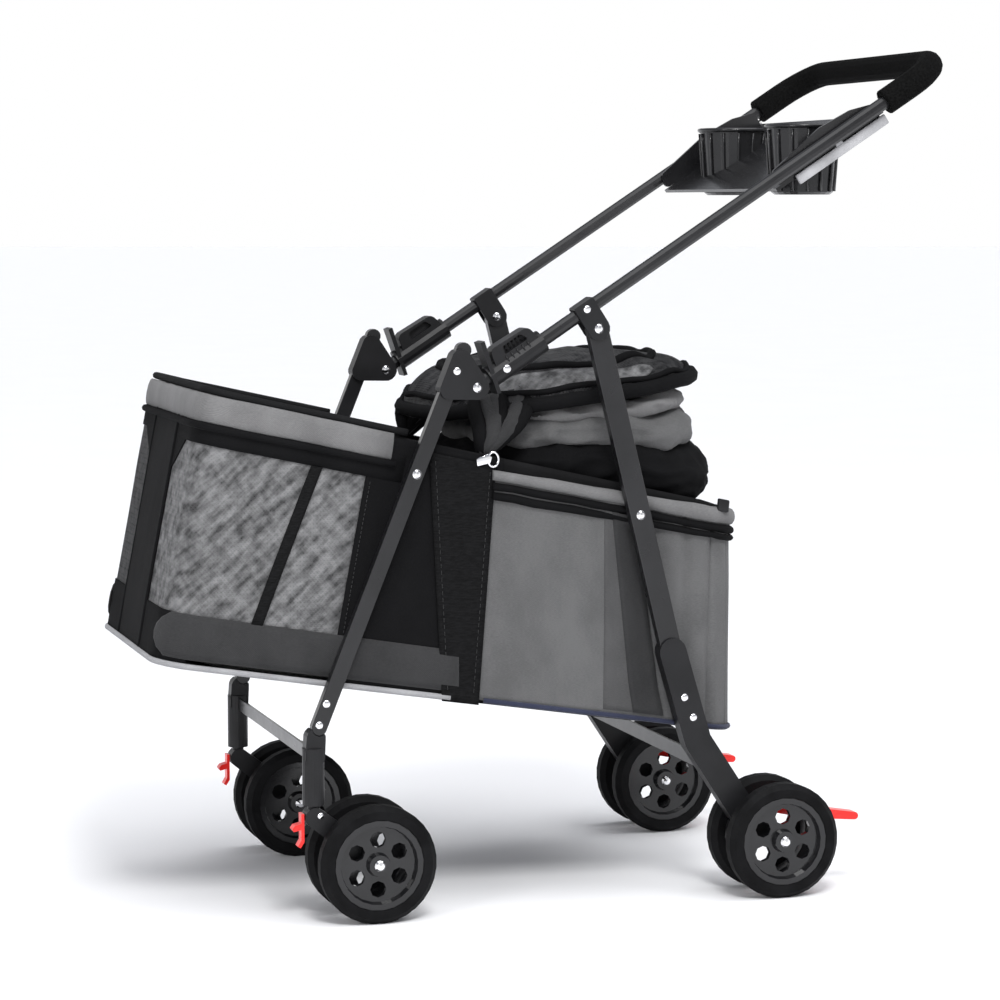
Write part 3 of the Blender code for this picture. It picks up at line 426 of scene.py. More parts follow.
def dress_frame():
    """Gives each carried node its procedural finish."""
    words = (
        ("rivet", "chrome"),
        ("axle", "chrome"),
        ("tyre", "rubber"),
        ("hub", "hub"),
        ("grip", "foam"),
        ("tray", "tray"),
        ("bumper", "bar"),
        ("rail_cross", "bar"),
        ("bracket", "plastic"),
        ("foot", "plastic"),
        ("fork", "plastic"),
        ("slider", "plastic"),
        ("pedal", "red"),
        ("swivel", "red"),
        ("pet_basket", "black"),
        ("floor_pad", "pad"),
        ("canopy", "black"),
    )
    for name, node in NODES.items():
        finish = next((value for word, value in words if word in name), "tube")
        paint(node, MATERIALS[finish])


def carry(obj, body):
    """The piece rides on a body."""
    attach(obj, body)


def fold_down(obj):
    """A piece that rides on the frame's body."""
    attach(obj, "frame")
    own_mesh(obj)
    return obj


def press_down(obj):
    """Hood cloth, which rides on the frame's body."""
    return fold_down(obj)


# ---- basket ----


def basket_ends(height):
    front = lerp(FLOOR_FRONT[0], RIM_FRONT[0], height)
    rear = lerp(FLOOR_REAR[0], RIM_REAR[0], height)
    return front, rear


def wall_plan(station, height):
    """Plan position and outward normal at a station round the basket.

    Stations 0 to 5 go from the middle of the rear round the left side to the middle of the front,
    with corners at 1 to 2 and 3 to 4; 5 to 10 come back round the right side, as do negative ones.
    """
    mirror = 1
    if station > 5:
        station = 10 - station
        mirror = -1
    if station < 0:
        station = -station
        mirror = -1
    front, rear = basket_ends(height)
    if station <= 1:
        place = Vector((rear, station * (HALF_WIDTH - CORNER)))
        normal = Vector((-1, 0))
    elif station <= 2:
        turn = math.pi - (station - 1) * math.pi / 2
        normal = Vector((math.cos(turn), math.sin(turn)))
        place = Vector((rear + CORNER, HALF_WIDTH - CORNER)) + normal * CORNER
    elif station <= 3:
        x = lerp(rear + CORNER, front - CORNER, station - 2)
        taper = max(0.0, (x - TAPER_X) / (front - CORNER - TAPER_X))
        place = Vector((x, lerp(HALF_WIDTH, NOSE_HALF_WIDTH, taper)))
        normal = Vector((0, 1))
    elif station <= 4:
        turn = math.pi / 2 - (station - 3) * math.pi / 2
        normal = Vector((math.cos(turn), math.sin(turn)))
        place = Vector((front - CORNER, NOSE_HALF_WIDTH - CORNER)) + normal * CORNER
    else:
        place = Vector((front, lerp(NOSE_HALF_WIDTH - CORNER, 0, station - 4)))
        normal = Vector((1, 0))
    return place, normal, mirror


def station_at(x, height):
    """The side station that lies at x, at a height share."""
    front, rear = basket_ends(height)
    return 2 + (x - rear - CORNER) / (front - rear - 2 * CORNER)


CLOTH_INSET = 0.0012
WALL_HEIGHT = 0.28
CELL = 0.007


def slack(place, height):
    """How far the cloth hangs in or out of its flat line, from pulls and small wrinkles."""
    hang = noise.noise(Vector((place.x * 9, place.y * 9, place.z * 4))) * 0.0012
    fine = noise.noise(Vector((place.x * 34, place.y * 34, place.z * 13 + 5))) * 0.0005
    return (hang + fine) * math.sin(math.pi * min(1.0, max(0.0, height))) ** 0.5


def wall_point(station, height, out=0.0):
    """A point on the basket's wall, a distance outside it."""
    plan, normal, mirror = wall_plan(station, height)
    low = floor_z(plan.x)
    z = lerp(low, rim_z(plan.x), height)
    place = Vector((plan.x, plan.y * mirror, z))
    outward = Vector((normal.x, normal.y * mirror, 0))
    return place + outward * (out + slack(place, height) - CLOTH_INSET)


def run_length(ends, height):
    """The length along the wall between two stations, at one height."""
    line = [wall_point(lerp(ends[0], ends[1], step / 40), height) for step in range(41)]
    return sum((after - before).length for before, after in zip(line, line[1:]))


def sewn(name, stations, heights, finish, out=0.0, thick=0.0014, puff=0.0, shape=None, cell=CELL,
         held="stretched"):
    """A panel of the wall between two edges, which rides on the frame.

    stations(height) gives the two end stations; heights is (low, high). puff bulges its middle.
    shape(x, up) may add a distance outwards, by the place along the stroller and the share up.
    """
    length = max(run_length(stations(height), height) for height in heights)
    columns = max(4, int(length / cell))
    tall = (heights[1] - heights[0]) * WALL_HEIGHT
    lines = max(3, int(tall / CELL))
    rows = []
    for line in range(lines + 1):
        up = line / lines
        height = lerp(heights[0], heights[1], up)
        first, last = stations(height)
        row = []
        for column in range(columns + 1):
            station = lerp(first, last, column / columns)
            extra = puff * math.sin(math.pi * up) ** 0.6
            if shape:
                extra += shape(wall_plan(station, height)[0].x, up)
            row.append(wall_point(station, height, out + extra))
        rows.append(row)
    panel = grid(name, rows, MATERIALS[finish])
    add_solidify(panel, thick)
    return fold_down(panel)


def between(x_low, x_high, heights):
    """A slanting side-view edge: the station of the line from x_low to x_high over heights."""

    def station(height):
        share = (height - heights[0]) / (heights[1] - heights[0])
        return station_at(lerp(x_low, x_high, share), height)

    return station


def mirrored(station):
    """The same station on the right side."""
    return 10 - station


def on_side(side, station):
    """A left side station, or its mirror on the right side."""
    return station if side > 0 else mirrored(station)


def side_edges(side, rear_edge, front_edge):
    """Both ends of a side panel."""
    return lambda height: (on_side(side, rear_edge(height)), on_side(side, front_edge(height)))


def fixed(station):
    """An edge that stays at one station."""
    return lambda height: station


def at_x(x):
    """An upright side-view edge."""
    return lambda height: station_at(x, height)


WINDOW = (0.19, 0.815)
WINDOW_REAR = between(0.272, 0.238, WINDOW)
WINDOW_CORNER = 3.05
WINDOW_FRONT = 4.52
# Painted shade: the heights and the rear and front edges of the darker sheets laid behind the rear leg,
# where the side panel lies in shade.
PAINTED_SHADE_HEIGHTS = (0.03, 0.86)
PAINTED_SHADE_REAR = between(-0.120, -0.088, PAINTED_SHADE_HEIGHTS)
PAINTED_SHADE_FRONT = between(-0.082, -0.056, PAINTED_SHADE_HEIGHTS)
BASKET_RUN = 0.58
BAND_LOW = 0.893
PANEL_FRONT = between(0.262, 0.196, (0.0, 1.0))
STRAP_FRONT = between(0.150, 0.165, (0.0, 1.0))
STRAP_REAR = between(0.106, 0.084, (0.0, 1.0))


def pleats(x, up):
    """How the rear side panel hangs: flat ahead of the rear leg, pulled in behind it, then pleated."""
    valley_x = lerp(-0.104, -0.088, up)
    valley = -0.0105 * math.exp(-(((x - valley_x) / 0.024) ** 2)) * smooth_step(up / 0.15)
    reach = smooth_step((-0.118 - x) / 0.02)
    crease = (1 - abs(math.sin(x * 96 + 0.9 + up * 0.8))) ** 2
    folds = -0.0062 * crease * (0.45 + 0.55 * up) + math.sin(x * 330 - up * 3.0) * 0.0006
    return (valley + reach * folds) * smooth_step((1.0 - up) / 0.06)


def side_panels(side):
    """One side's pieces: name, rear and front edges, heights, finish, and what else they need."""
    front = fixed(WINDOW_FRONT)
    pane_heights = (WINDOW[0] - 0.02, WINDOW[1] + 0.02)
    low_top = WINDOW[0] + 0.004
    pane = {"out": -0.0008, "thick": 0.0008}
    past_front = fixed(WINDOW_FRONT + 0.04)
    side_end = past_front if side > 0 else fixed(WINDOW_CORNER)
    painted_shade_wide_end = lambda h: PAINTED_SHADE_FRONT(h) + 0.030 * (1.2 - h) / BASKET_RUN
    rows = [("window_side_", lambda h: WINDOW_REAR(h) - 0.01, side_end, pane_heights, "mesh", pane)]
    if side < 0:
        nose_start = fixed(WINDOW_CORNER - 0.01)
        rows.append(("window_nose_", nose_start, past_front, pane_heights, "mesh_dark", pane))
    return rows + [
        ("window_top_", lambda h: PANEL_FRONT(h) - 0.02, front, (WINDOW[1], BAND_LOW + 0.03), "black",
         {"out": 0.0006}),
        ("corner_low_", fixed(3.2), front, (0.01, low_top), "black", {"out": 0.0008}),
        ("corner_gusset_", lambda h: lerp(WINDOW_FRONT - 0.02, 4.05, (h - 0.70) / 0.14), front, (0.70, 0.84),
         "black", {"out": 0.0005}),
        ("panel_middle_", at_x(0.075), WINDOW_REAR, (0.012, 0.985), "black", {"out": 0.0002}),
        ("border_low_", at_x(0.13), lambda h: 3.9 - 0.3 * ((h - 0.11) / 0.08) ** 2, (0.03, low_top),
         "grey_dark", {"out": 0.0012, "puff": 0.0030}),
        ("strap_wide_", STRAP_REAR, STRAP_FRONT, (-0.012, 0.955), "webbing",
         {"out": 0.0027, "thick": 0.0018, "held": "hung"}),
        ("strap_window_", between(0.358, 0.288, WINDOW), between(0.371, 0.301, WINDOW), WINDOW, "webbing",
         {"out": 0.0014, "thick": 0.0016}),
        ("panel_rear_", fixed(1.5), at_x(0.112), (0.008, 0.93), "grey",
         {"out": 0.0006, "shape": pleats, "cell": 0.0035}),
        # Painted shade: a wider mid-dark sheet under a narrower dark one, laid behind the rear leg to stand
        # for the shade there.
        ("painted_shade_wide_", PAINTED_SHADE_REAR, painted_shade_wide_end, PAINTED_SHADE_HEIGHTS, "painted_shade_soft",
         {"out": 0.0013, "thick": 0.0010, "shape": pleats}),
        ("painted_shade_rear_", PAINTED_SHADE_REAR, PAINTED_SHADE_FRONT, PAINTED_SHADE_HEIGHTS, "painted_shade_dark",
         {"out": 0.0022, "thick": 0.0010, "shape": pleats}),
        ("lining_", fixed(0.0), at_x(0.22), (0.02, 0.99), "lining",
         {"out": -0.0125, "thick": 0.001, "held": "hung"}),
    ]


def basket_walls():
    """The basket's sewn panels, windows and straps."""
    for side in SIDES:
        for word, rear, front, heights, finish, more in side_panels(side):
            piece = sewn(word + SIDE_NAME[side], side_edges(side, rear, front), heights, finish, **more)
            if word == "panel_middle_":
                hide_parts("pet_basket")
    front_frame()
    bands()


def front_frame():
    """The nose of the basket, a dark panel between the two wrapped windows, and the rear panels."""
    sewn("lining_nose", lambda h: (WINDOW_FRONT, 10 - WINDOW_CORNER), (0.02, 0.93), "lining", out=-0.009)
    ends = (WINDOW_FRONT - 0.01, 10.01 - WINDOW_FRONT)
    sewn("panel_front", lambda h: ends, (0.01, 0.93), "lining", out=0.0003, puff=0.0015)
    for side in SIDES:
        edge = on_side(side, WINDOW_FRONT)
        line = [wall_point(edge, lerp(0.02, 0.90, step / 24), 0.0012) for step in range(25)]
        fold_down(tube("seam_front_" + SIDE_NAME[side], line, 0.0022, MATERIALS["piping_black"]))
    sewn("panel_rear_middle", lambda h: (-0.001, 1.5), (0.008, 0.93), "grey", out=0.0008)
    sewn("panel_rear_middle_right", lambda h: (8.5, 10.001), (0.008, 0.93), "grey", out=0.0008)


PROFILE = 12
BAND_STEPS = 90
HEM_STEPS = 110
CORD_STEPS = 120
HEM_FRONT_X = 0.088
HEM_RUN = 0.302
LEG_PINCH = {"depth": 0.0075, "x": -0.078, "width": 0.026}


def band_roll(name, stations, low, high, finish, out, bulge):
    """A folded-over hem: a closed soft roll that follows the rim."""
    rows = []
    for step in range(BAND_STEPS + 1):
        station = lerp(*stations, step / BAND_STEPS)
        ring = []
        for turn in turns(PROFILE):
            height = lerp(low, high, 0.5 + 0.5 * math.sin(turn))
            place = wall_point(station, height, out + bulge * math.cos(turn))
            lumps = noise.noise(place * 40) * 0.0010
            ring.append(place + Vector((0, 0, lumps)))
        rows.append(ring)
    return soft_roll(name, rows, finish)


def hem_roll(name, stations, at_front, at_rear, finish, out, bulge):
    """A soft roll at heights given from the rim line at its front end and at the rear wall.

    It is pinched where the rear leg passes it.
    """
    rows = []
    for step in range(HEM_STEPS + 1):
        plan, normal, mirror = wall_plan(lerp(*stations, step / HEM_STEPS), 0.95)
        share = min(1.0, max(0.0, (HEM_FRONT_X - plan.x) / HEM_RUN))
        low = lerp(at_front[0], at_rear[0], share)
        high = lerp(at_front[1], at_rear[1], share)
        near = (plan.x - LEG_PINCH["x"]) / LEG_PINCH["width"]
        pinch = LEG_PINCH["depth"] * math.exp(-(near**2))
        ring = []
        for turn in turns(PROFILE):
            reach = out + bulge * math.cos(turn) - pinch
            z = rim_z(plan.x) + lerp(low, high, 0.5 + 0.5 * math.sin(turn))
            place = Vector((plan.x + normal.x * reach, (plan.y + normal.y * reach) * mirror, z))
            lumps = noise.noise(place * 30) * 0.0022 + noise.noise(place * 80) * 0.0008
            ring.append(place + Vector((0, 0, lumps)))
        rows.append(ring)
    return soft_roll(name, rows, finish)


def soft_roll(name, rows, finish):
    """A closed roll of hemmed cloth with flat ends, which rides on the frame."""
    roll = grid(name, rows, MATERIALS[finish], closed=True, caps=True)
    for face in list(roll.data.polygons)[-2:]:
        face.use_smooth = False
    return fold_down(roll)


def cord(name, stations, height, out, radius, finish, flat=1.0):
    """Piping along the wall at one height."""
    line = [wall_point(lerp(*stations, step / CORD_STEPS), height, out) for step in range(CORD_STEPS + 1)]
    return fold_down(tube(name, line, radius, MATERIALS[finish], flat=flat))


def bands():
    """The rim's grey hem, its pipings, and the pale lip along the bottom edge."""
    first = station_at(0.205, 1.0)
    last = mirrored(first)
    band_roll("rim_band", (first, last), BAND_LOW, 1.0, "grey_band", 0.0005, 0.0034)
    cord("rim_lining", (first - 0.03, last + 0.03), 1.012, -0.004, 0.0042, "lining")
    cord("rim_piping", (first - 0.01, last + 0.01), BAND_LOW - 0.012, 0.0022, 0.0042, "piping_black")
    rear = station_at(HEM_FRONT_X, 1.0)
    rolls = (
        ("rim_band_rear", (-0.029, -0.0175), (-0.026, -0.006), "grey_band", 0.0012, 0.0068),
        ("rim_roll_rear", (-0.041, -0.031), (-0.036, -0.027), "black", 0.0012, 0.0056),
        ("rim_piping_rear", (-0.053, -0.043), (-0.044, -0.037), "piping_black", 0.0010, 0.0052),
    )
    for name, *how in rolls:
        hem_roll(name, (-rear, rear), *how)
    low = station_at(0.14, 0.0)
    cord("bottom_piping", (low, mirrored(low)), 0.004, 0.0018, 0.0034, "piping", flat=0.8)
    low_rear = station_at(0.10, 0.0)
    cord("bottom_piping_rear", (-low_rear, low_rear), 0.008, 0.0016, 0.0030, "navy")


def half_width_at(x):
    """Half the basket's width on its floor, with the rounded corners."""
    front, rear = basket_ends(0.0)
    taper = min(1.0, max(0.0, (x - TAPER_X) / (front - CORNER - TAPER_X)))
    side = lerp(HALF_WIDTH, NOSE_HALF_WIDTH, taper) - CORNER
    past = max(0.0, rear + CORNER - x, x - front + CORNER)
    return side + math.sqrt(max(0.0, CORNER**2 - past**2))


def floor_sheet():
    """The stiffened bottom of the basket, seen from below, which sags a little between its edges."""
    front, rear = basket_ends(0.0)
    rows = []
    for step in range(49):
        turn = math.pi * step / 48
        x = lerp(rear, front, 0.5 - 0.5 * math.cos(turn))
        reach = half_width_at(x)
        row = []
        for place in range(25):
            across = lerp(-reach, reach, place / 24)
            sag = 0.004 * smooth_step((reach - abs(across)) / 0.12) * math.sin(turn)
            row.append((x, across, floor_z(x) - 0.0005 - sag))
        rows.append(row)
    under = grid("floor_under", rows, MATERIALS["black"])
    add_solidify(under, 0.002)
    fold_down(under)


# ---- puffed pieces ----


PRESSURE = 4.0
FRAMES = 12


def puffed(obj, cap, voxel=0.0095, growth=0.0):
    """Swells a closed shape like stuffed cloth: remeshed, blown up, held within a cap."""
    remesh = obj.modifiers.new("skin", "REMESH")
    remesh.mode = "VOXEL"
    remesh.voxel_size = voxel
    evaluated_copy(obj)
    before = [v.co.copy() for v in obj.data.vertices]
    cloth = obj.modifiers.new("cloth", "CLOTH")
    settings = cloth.settings
    settings.quality = 4
    settings.mass = 0.25
    settings.use_pressure = True
    settings.uniform_pressure_force = PRESSURE
    settings.shrink_min = -growth
    settings.tension_stiffness = 25
    settings.compression_stiffness = 25
    settings.bending_stiffness = 0.4
    settings.effector_weights.gravity = 0.0
    cloth.point_cache.frame_start = 1
    cloth.point_cache.frame_end = FRAMES
    for number in range(1, FRAMES + 1):
        bpy.context.scene.frame_set(number)
    evaluated = obj.evaluated_get(bpy.context.evaluated_depsgraph_get())
    after = [v.co.copy() for v in evaluated.data.vertices]
    obj.modifiers.clear()
    bpy.context.scene.frame_set(1)
    for vertex, start, end in zip(obj.data.vertices, before, after):
        step = end - start
        if step.length > cap:
            step *= cap / step.length
        vertex.co = start + step
    work = bmesh.new()
    work.from_mesh(obj.data)
    axes = {"use_axis_x": True, "use_axis_y": True, "use_axis_z": True}
    bmesh.ops.smooth_vert(work, verts=work.verts, factor=0.4, **axes)
    work.to_mesh(obj.data)
    work.free()
    obj.data.shade_smooth()


def pillow(name, outline, top, bottom, material):
    """A closed soft slab with a full, rounded rim: outline(turn, share) in plan, and two heights."""
    rim = []
    for ring in range(6):
        turn = ring / 5 * math.pi / 2
        rim.append((1 - 0.10 * (1 - math.cos(turn)), math.sin(turn)))
    inner = [(0.72, 1.0), (0.45, 1.0)]
    loops = [(share, rise, top) for share, rise in reversed(rim + inner)]
    loops += [(share, rise, bottom) for share, rise in rim[1:] + inner]
    rows = []
    for share, rise, surface in loops:
        row = []
        for turn in turns(64):
            x, y = outline(turn, share)
            middle = (top(x, y) + bottom(x, y)) / 2
            row.append((x, y, lerp(middle, surface(x, y), rise)))
        rows.append(row)
    return grid(name, rows, material, closed=True, caps=True)


def oval(centre_x, half_length, half_width, power):
    """A plan outline between an ellipse and a rectangle."""

    def place(turn, share):
        c = math.cos(turn)
        s = math.sin(turn)
        x = math.copysign(abs(c) ** (2 / power), c) * half_length
        y = math.copysign(abs(s) ** (2 / power), s) * half_width
        return centre_x + x * share, y * share

    return place


HOOD_FRONT_X = 0.08
HOOD_REAR_X = -0.205


def tilted(front_z, rear_z):
    """A height that falls from front_z to rear_z along the hood."""

    def height(x, y):
        return lerp(rear_z, front_z, (x - HOOD_REAR_X) / (HOOD_FRONT_X - HOOD_REAR_X))

    return height


def creased(surface, wave, phase):
    """A surface with soft folds round its edge."""

    def height(x, y):
        turn = math.atan2(y, x + 0.06)
        folds = math.sin(turn * 5 + phase) * 0.6 + math.sin(turn * 11 + phase * 2) * 0.4
        return surface(x, y) + wave * folds

    return height


DOME_CENTRE = -0.035
DOME_LENGTH = 0.168
DOME_WIDTH = 0.163
DOME_STEPS = 96
DOME_LEVELS = 10


def dome_base(x):
    return lerp(0.566, 0.5985, (0.071 - x) / 0.238)


def dome_top(x):
    return lerp(0.6235, 0.6395, (0.110 - x) / 0.283)


def canopy_layer(name, size, top, bottom, finish, cap, wave, phase):
    """One stuffed layer of the hood: half length, half width and centre, and its heights."""
    half_length, half_width, centre = size
    layer = pillow(
        name,
        oval(centre, half_length, half_width, 3.4),
        creased(tilted(*top), wave, phase),
        creased(tilted(*bottom), wave, phase),
        MATERIALS[finish],
    )
    puffed(layer, cap, growth=0.05)
    subdivide(layer)
    for vertex in layer.data.vertices:
        at = Vector((vertex.co.x * 20, vertex.co.y * 20, vertex.co.z * 62 + phase))
        wrinkle = (0.24 - abs(noise.noise(at))) * 0.0105 + noise.noise(at * 3.1) * 0.0009
        vertex.co += vertex.normal * wrinkle
    layer.data.shade_smooth()
    return press_down(layer)


def folded_canopy():
    """The hood folded down: a black roll, two grey folds that fan out rearwards, and the net dome."""
    roll = canopy_layer("canopy_roll_black", (0.150, 0.171, -0.0605), (0.528, 0.5245), (0.507, 0.4560),
                        "black", 0.006, 0.003, 0.0)
    canopy_layer("canopy_fold_low", (0.143, 0.1665, -0.0585), (0.552, 0.5655), (0.530, 0.5290),
                 "grey", 0.006, 0.003, 0.7)
    canopy_layer("canopy_fold_high", (0.132, 0.1625, -0.0540), (0.566, 0.5940), (0.556, 0.5740),
                 "grey_band", 0.005, 0.0025, 2.1)
    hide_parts("folded_canopy")
    dome()
    for side in SIDES:
        gather(side)


def dome_point(angle, share, out=0.0):
    """A point of the hood's dome: angle round it in plan, share from its base to its crown."""
    turn = share * math.pi / 2
    outline = oval(DOME_CENTRE, DOME_LENGTH + out, DOME_WIDTH + out, 2.6)
    x, y = outline(angle, lerp(0.04, 1.0, math.cos(turn) ** 0.62))
    rise = math.sin(turn) ** 0.85
    crumple = noise.noise(Vector((x * 24, y * 24, share * 3))) * 0.007 * math.sin(2 * turn)
    folds = math.sin(angle * 9 + share * 3) * 0.002 * (1 - share) * share * 4
    return Vector((x, y, lerp(dome_base(x), dome_top(x) + out, rise) + crumple + folds))


def dome():
    """The net window of the hood, bunched into a low dome, with its hoops and a black lining."""
    shells = (("canopy_dome", "mesh_dark", 0.0), ("canopy_dome_lining", "black", -0.005))
    for name, finish, out in shells:
        rings = []
        for level in range(DOME_LEVELS + 1):
            rings.append([dome_point(turn, level / DOME_LEVELS, out) for turn in turns(DOME_STEPS)])
        shell = grid(name, rings, MATERIALS[finish], closed=True)
        work = bmesh.new()
        work.from_mesh(shell.data)
        top = DOME_LEVELS * DOME_STEPS
        edges = [e for e in work.edges if e.is_boundary and min(v.index for v in e.verts) >= top]
        bmesh.ops.contextual_create(work, geom=edges)
        work.to_mesh(shell.data)
        work.free()
        subdivide(shell)
        hood_sheet(shell, 0.0012)
    for side in SIDES:
        dome_window(side)
    hoops = (
        ("canopy_hoop_base", 0.06, 0.0085),
        ("canopy_hoop_low", 0.22, 0.0036),
        ("canopy_hoop_top", 0.60, 0.0052),
    )
    for name, share, radius in hoops:
        points = [dome_point(turn, share, 0.0012) for turn in turns(DOME_STEPS)]
        press_down(tube(name, points, radius, MATERIALS["piping_black"], cyclic=True))


def hood_sheet(shell, thick):
    """Gives folded hood cloth its thickness and smooth shading, and puts it on the frame's body."""
    add_solidify(shell, thick)
    shell.data.shade_smooth()
    press_down(shell)


def dome_window(side):
    """The eye-shaped pane of paler net in the dome's side."""
    rows = []
    for level in range(9):
        row = []
        for step in range(37):
            place = step / 18 - 1
            tall = 0.17 * math.sqrt(max(0.02, 1 - place**2))
            share = 0.36 + tall * (level / 4 - 1)
            row.append(dome_point(side * (1.46 - 0.62 * place), share, 0.0014))
        rows.append(row)
    pane = grid("canopy_window_" + SIDE_NAME[side], rows, MATERIALS["mesh"])
    hood_sheet(pane, 0.0008)


def gather(side):
    """Hood cloth bunched into folds where it is sewn to the rim's front end."""
    folds = []
    for number in range(7):
        share = number / 6
        line = []
        for step in range(11):
            along = step / 10
            belly = math.sin(math.pi * along)
            x = lerp(lerp(0.028, 0.094, share), 0.094, along**1.6) + 0.005 * belly * math.sin(number * 2.3)
            spread = 0.0085 * belly * (0.7 + 0.3 * math.sin(number * 1.7))
            y = lerp(0.136, 0.1680, smooth_step(along * 1.6)) + spread
            line.append((x, side * y, lerp(0.598 - 0.014 * share, 0.5265, along)))
        finish = "grey_dark" if number % 3 else "black"
        folds.append(tube("fold", line, 0.0090 + 0.0014 * math.sin(number * 3.1), MATERIALS[finish]))
    bunch = joined("canopy_gather_" + SIDE_NAME[side], folds)
    fold_down(bunch)


def mat():
    """The padded mat on the basket floor, with sewn channels across it."""
    low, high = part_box("floor_pad")
    slope = (FLOOR_FRONT[1] - FLOOR_REAR[1]) / (FLOOR_FRONT[0] - FLOOR_REAR[0])
    middle_x = (low[0] + high[0]) / 2
    middle_z = (low[2] + high[2]) / 2

    def surface(x, y):
        return middle_z + (x - middle_x) * slope

    pad = pillow(
        "mat",
        oval(middle_x, (high[0] - low[0]) / 2 - 0.008, (high[1] - low[1]) / 2 - 0.008, 8),
        lambda x, y: surface(x, y) + 0.006,
        lambda x, y: surface(x, y) - 0.005,
        MATERIALS["pad"],
    )
    puffed(pad, 0.005, voxel=0.0065)
    for vertex in pad.data.vertices:
        if vertex.normal.z > 0.3:
            along = abs((vertex.co.x - middle_x + 0.32) % 0.08 - 0.04)
            vertex.co.z -= 0.0035 * math.exp(-((along / 0.006) ** 2))
    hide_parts("floor_pad")
    fold_down(pad)


# ---- hard details ----


def dome_rivet(x, z, y, side, radius=0.0048):
    """A small domed rivet head that faces outwards."""
    rows = []
    for ring in range(5):
        turn = ring / 4 * math.pi / 2
        reach = max(radius * math.cos(turn), 0.0001)
        out = y + side * (0.0022 * math.sin(turn))
        rows.append([(x + reach * math.cos(angle), out, z + reach * math.sin(angle)) for angle in turns(16)])
    return grid("rivet", rows, MATERIALS["chrome"], closed=True, caps=True)


def extra_rivets():
    """The fastenings that hold brackets, feet and forks to their tubes."""
    bracket_face = 0.0105
    groups = {
        "front_legs": [(FRONT_FASTENER, bracket_face), ((0.2895, 0.250), 0.006), ((0.298, 0.226), 0.006)],
        "handle": [(on_handle(0.157, 0.002), bracket_face)],
        "rear_legs": [((-0.139, 0.238), 0.0095), ((-0.150, 0.214), 0.0095), ((-0.222, 0.099), 0.0095)],
    }
    for body, places in groups.items():
        heads = []
        for side in SIDES:
            for (x, z), reach in places:
                heads.append(dome_rivet(x, z, side * (LEG_Y + reach - 0.0004), side))
        carry(joined("rivets_" + body, heads), body)
    for side in SIDES:
        word = SIDE_NAME[side]
        x, z = on_handle(0.040, -0.001)
        head = dome_rivet(x, z, side * (LEG_Y + 0.0130), side, 0.0050)
        head.name = "slider_rivet_" + word
        carry(head, "latch_slider_" + word + "_body")
        places = ((0.298, 0.1235), (0.262, 0.094))
        fork = [dome_rivet(x, z, side * (LEG_Y + 0.0098), side, 0.004) for x, z in places]
        carry(joined("fork_rivets_" + word, fork), "caster_" + word)


def plate(name, outline, thickness, y, finish, round_off):
    """A flat moulded plate from a side-view outline, with rounded edges."""
    verts = [(x, y - thickness / 2, z) for x, z in outline]
    verts += [(x, y + thickness / 2, z) for x, z in outline]
    count = len(outline)
    faces = [tuple(range(count)), tuple(range(2 * count - 1, count - 1, -1))]
    faces += [(i, (i + 1) % count, count + (i + 1) % count, count + i) for i in range(count)]
    made = paint(mesh_object(name, verts, faces), MATERIALS[finish])
    edge = made.modifiers.new("edge", "BEVEL")
    edge.width = round_off
    edge.segments = 2
    edge.limit_method = "ANGLE"
    edge.angle_limit = math.radians(30)
    evaluated_copy(made)
    made.data.shade_smooth()
    made.data.set_sharp_from_angle(angle=math.radians(35))
    return made


CUP_PLACE = (-0.321, 0.112)
CUP_RADIUS = (0.0375, 0.0425)
CUP_HEIGHT = (0.826, 0.899)

# Plates on the tray's ends: finish, corners along and above the handle arm, thickness, y, rounding.
# The grey plates are painted highlight: pale where the tray's black sides shine in the lamp light.
TRAY_PLATES = (
    ("tray_painted_highlight", ((0.459, -0.0245), (0.592, -0.0245), (0.592, -0.0120), (0.459, -0.0120)),
     0.0044, 0.1930, 0.0016),
    ("tray", ((0.459, -0.0105), (0.592, -0.0105), (0.592, -0.0085), (0.459, -0.0085)),
     0.0036, 0.1925, 0.0005),
    ("tray_painted_highlight", ((0.520, -0.0120), (0.530, -0.0120), (0.529, -0.0070), (0.521, -0.0070)),
     0.0050, 0.1935, 0.0008),
)


def cup_point(side, turn, share, out, rise=0.0):
    """A point on a cup's outside, by its share of the height."""
    reach = lerp(CUP_RADIUS[0], CUP_RADIUS[1], share) + out
    x = CUP_PLACE[0] + reach * math.cos(turn)
    y = side * CUP_PLACE[1] + reach * math.sin(turn)
    return x, y, lerp(CUP_HEIGHT[0], CUP_HEIGHT[1], share) + rise


def tray_details():
    """The cup tray's edge strips and catches, the grey ones a painted highlight on its black plastic, and
    the ribs and lips of its cups.
    """
    parts = {"tray_painted_highlight": [], "tray": []}
    for side in SIDES:
        for finish, corners, thickness, y, round_off in TRAY_PLATES:
            outline = [on_handle(*corner) for corner in corners]
            parts[finish].append(plate("strip", outline, thickness, side * y, finish, round_off))
        for turn in turns(14):
            points = [cup_point(side, turn, step / 6, 0.0006) for step in range(7)]
            parts["tray"].append(tube("rib", points, 0.0017, MATERIALS["tray"], flat=1.6))
        points = [cup_point(side, turn, 1.0, 0.0012, 0.004) for turn in turns(48)]
        parts["tray"].append(tube("lip", points, 0.0026, MATERIALS["tray"], cyclic=True))
    carry(joined("tray_painted_highlight_strips", parts["tray_painted_highlight"]), "handle")
    carry(joined("tray_trims", parts["tray"]), "handle")


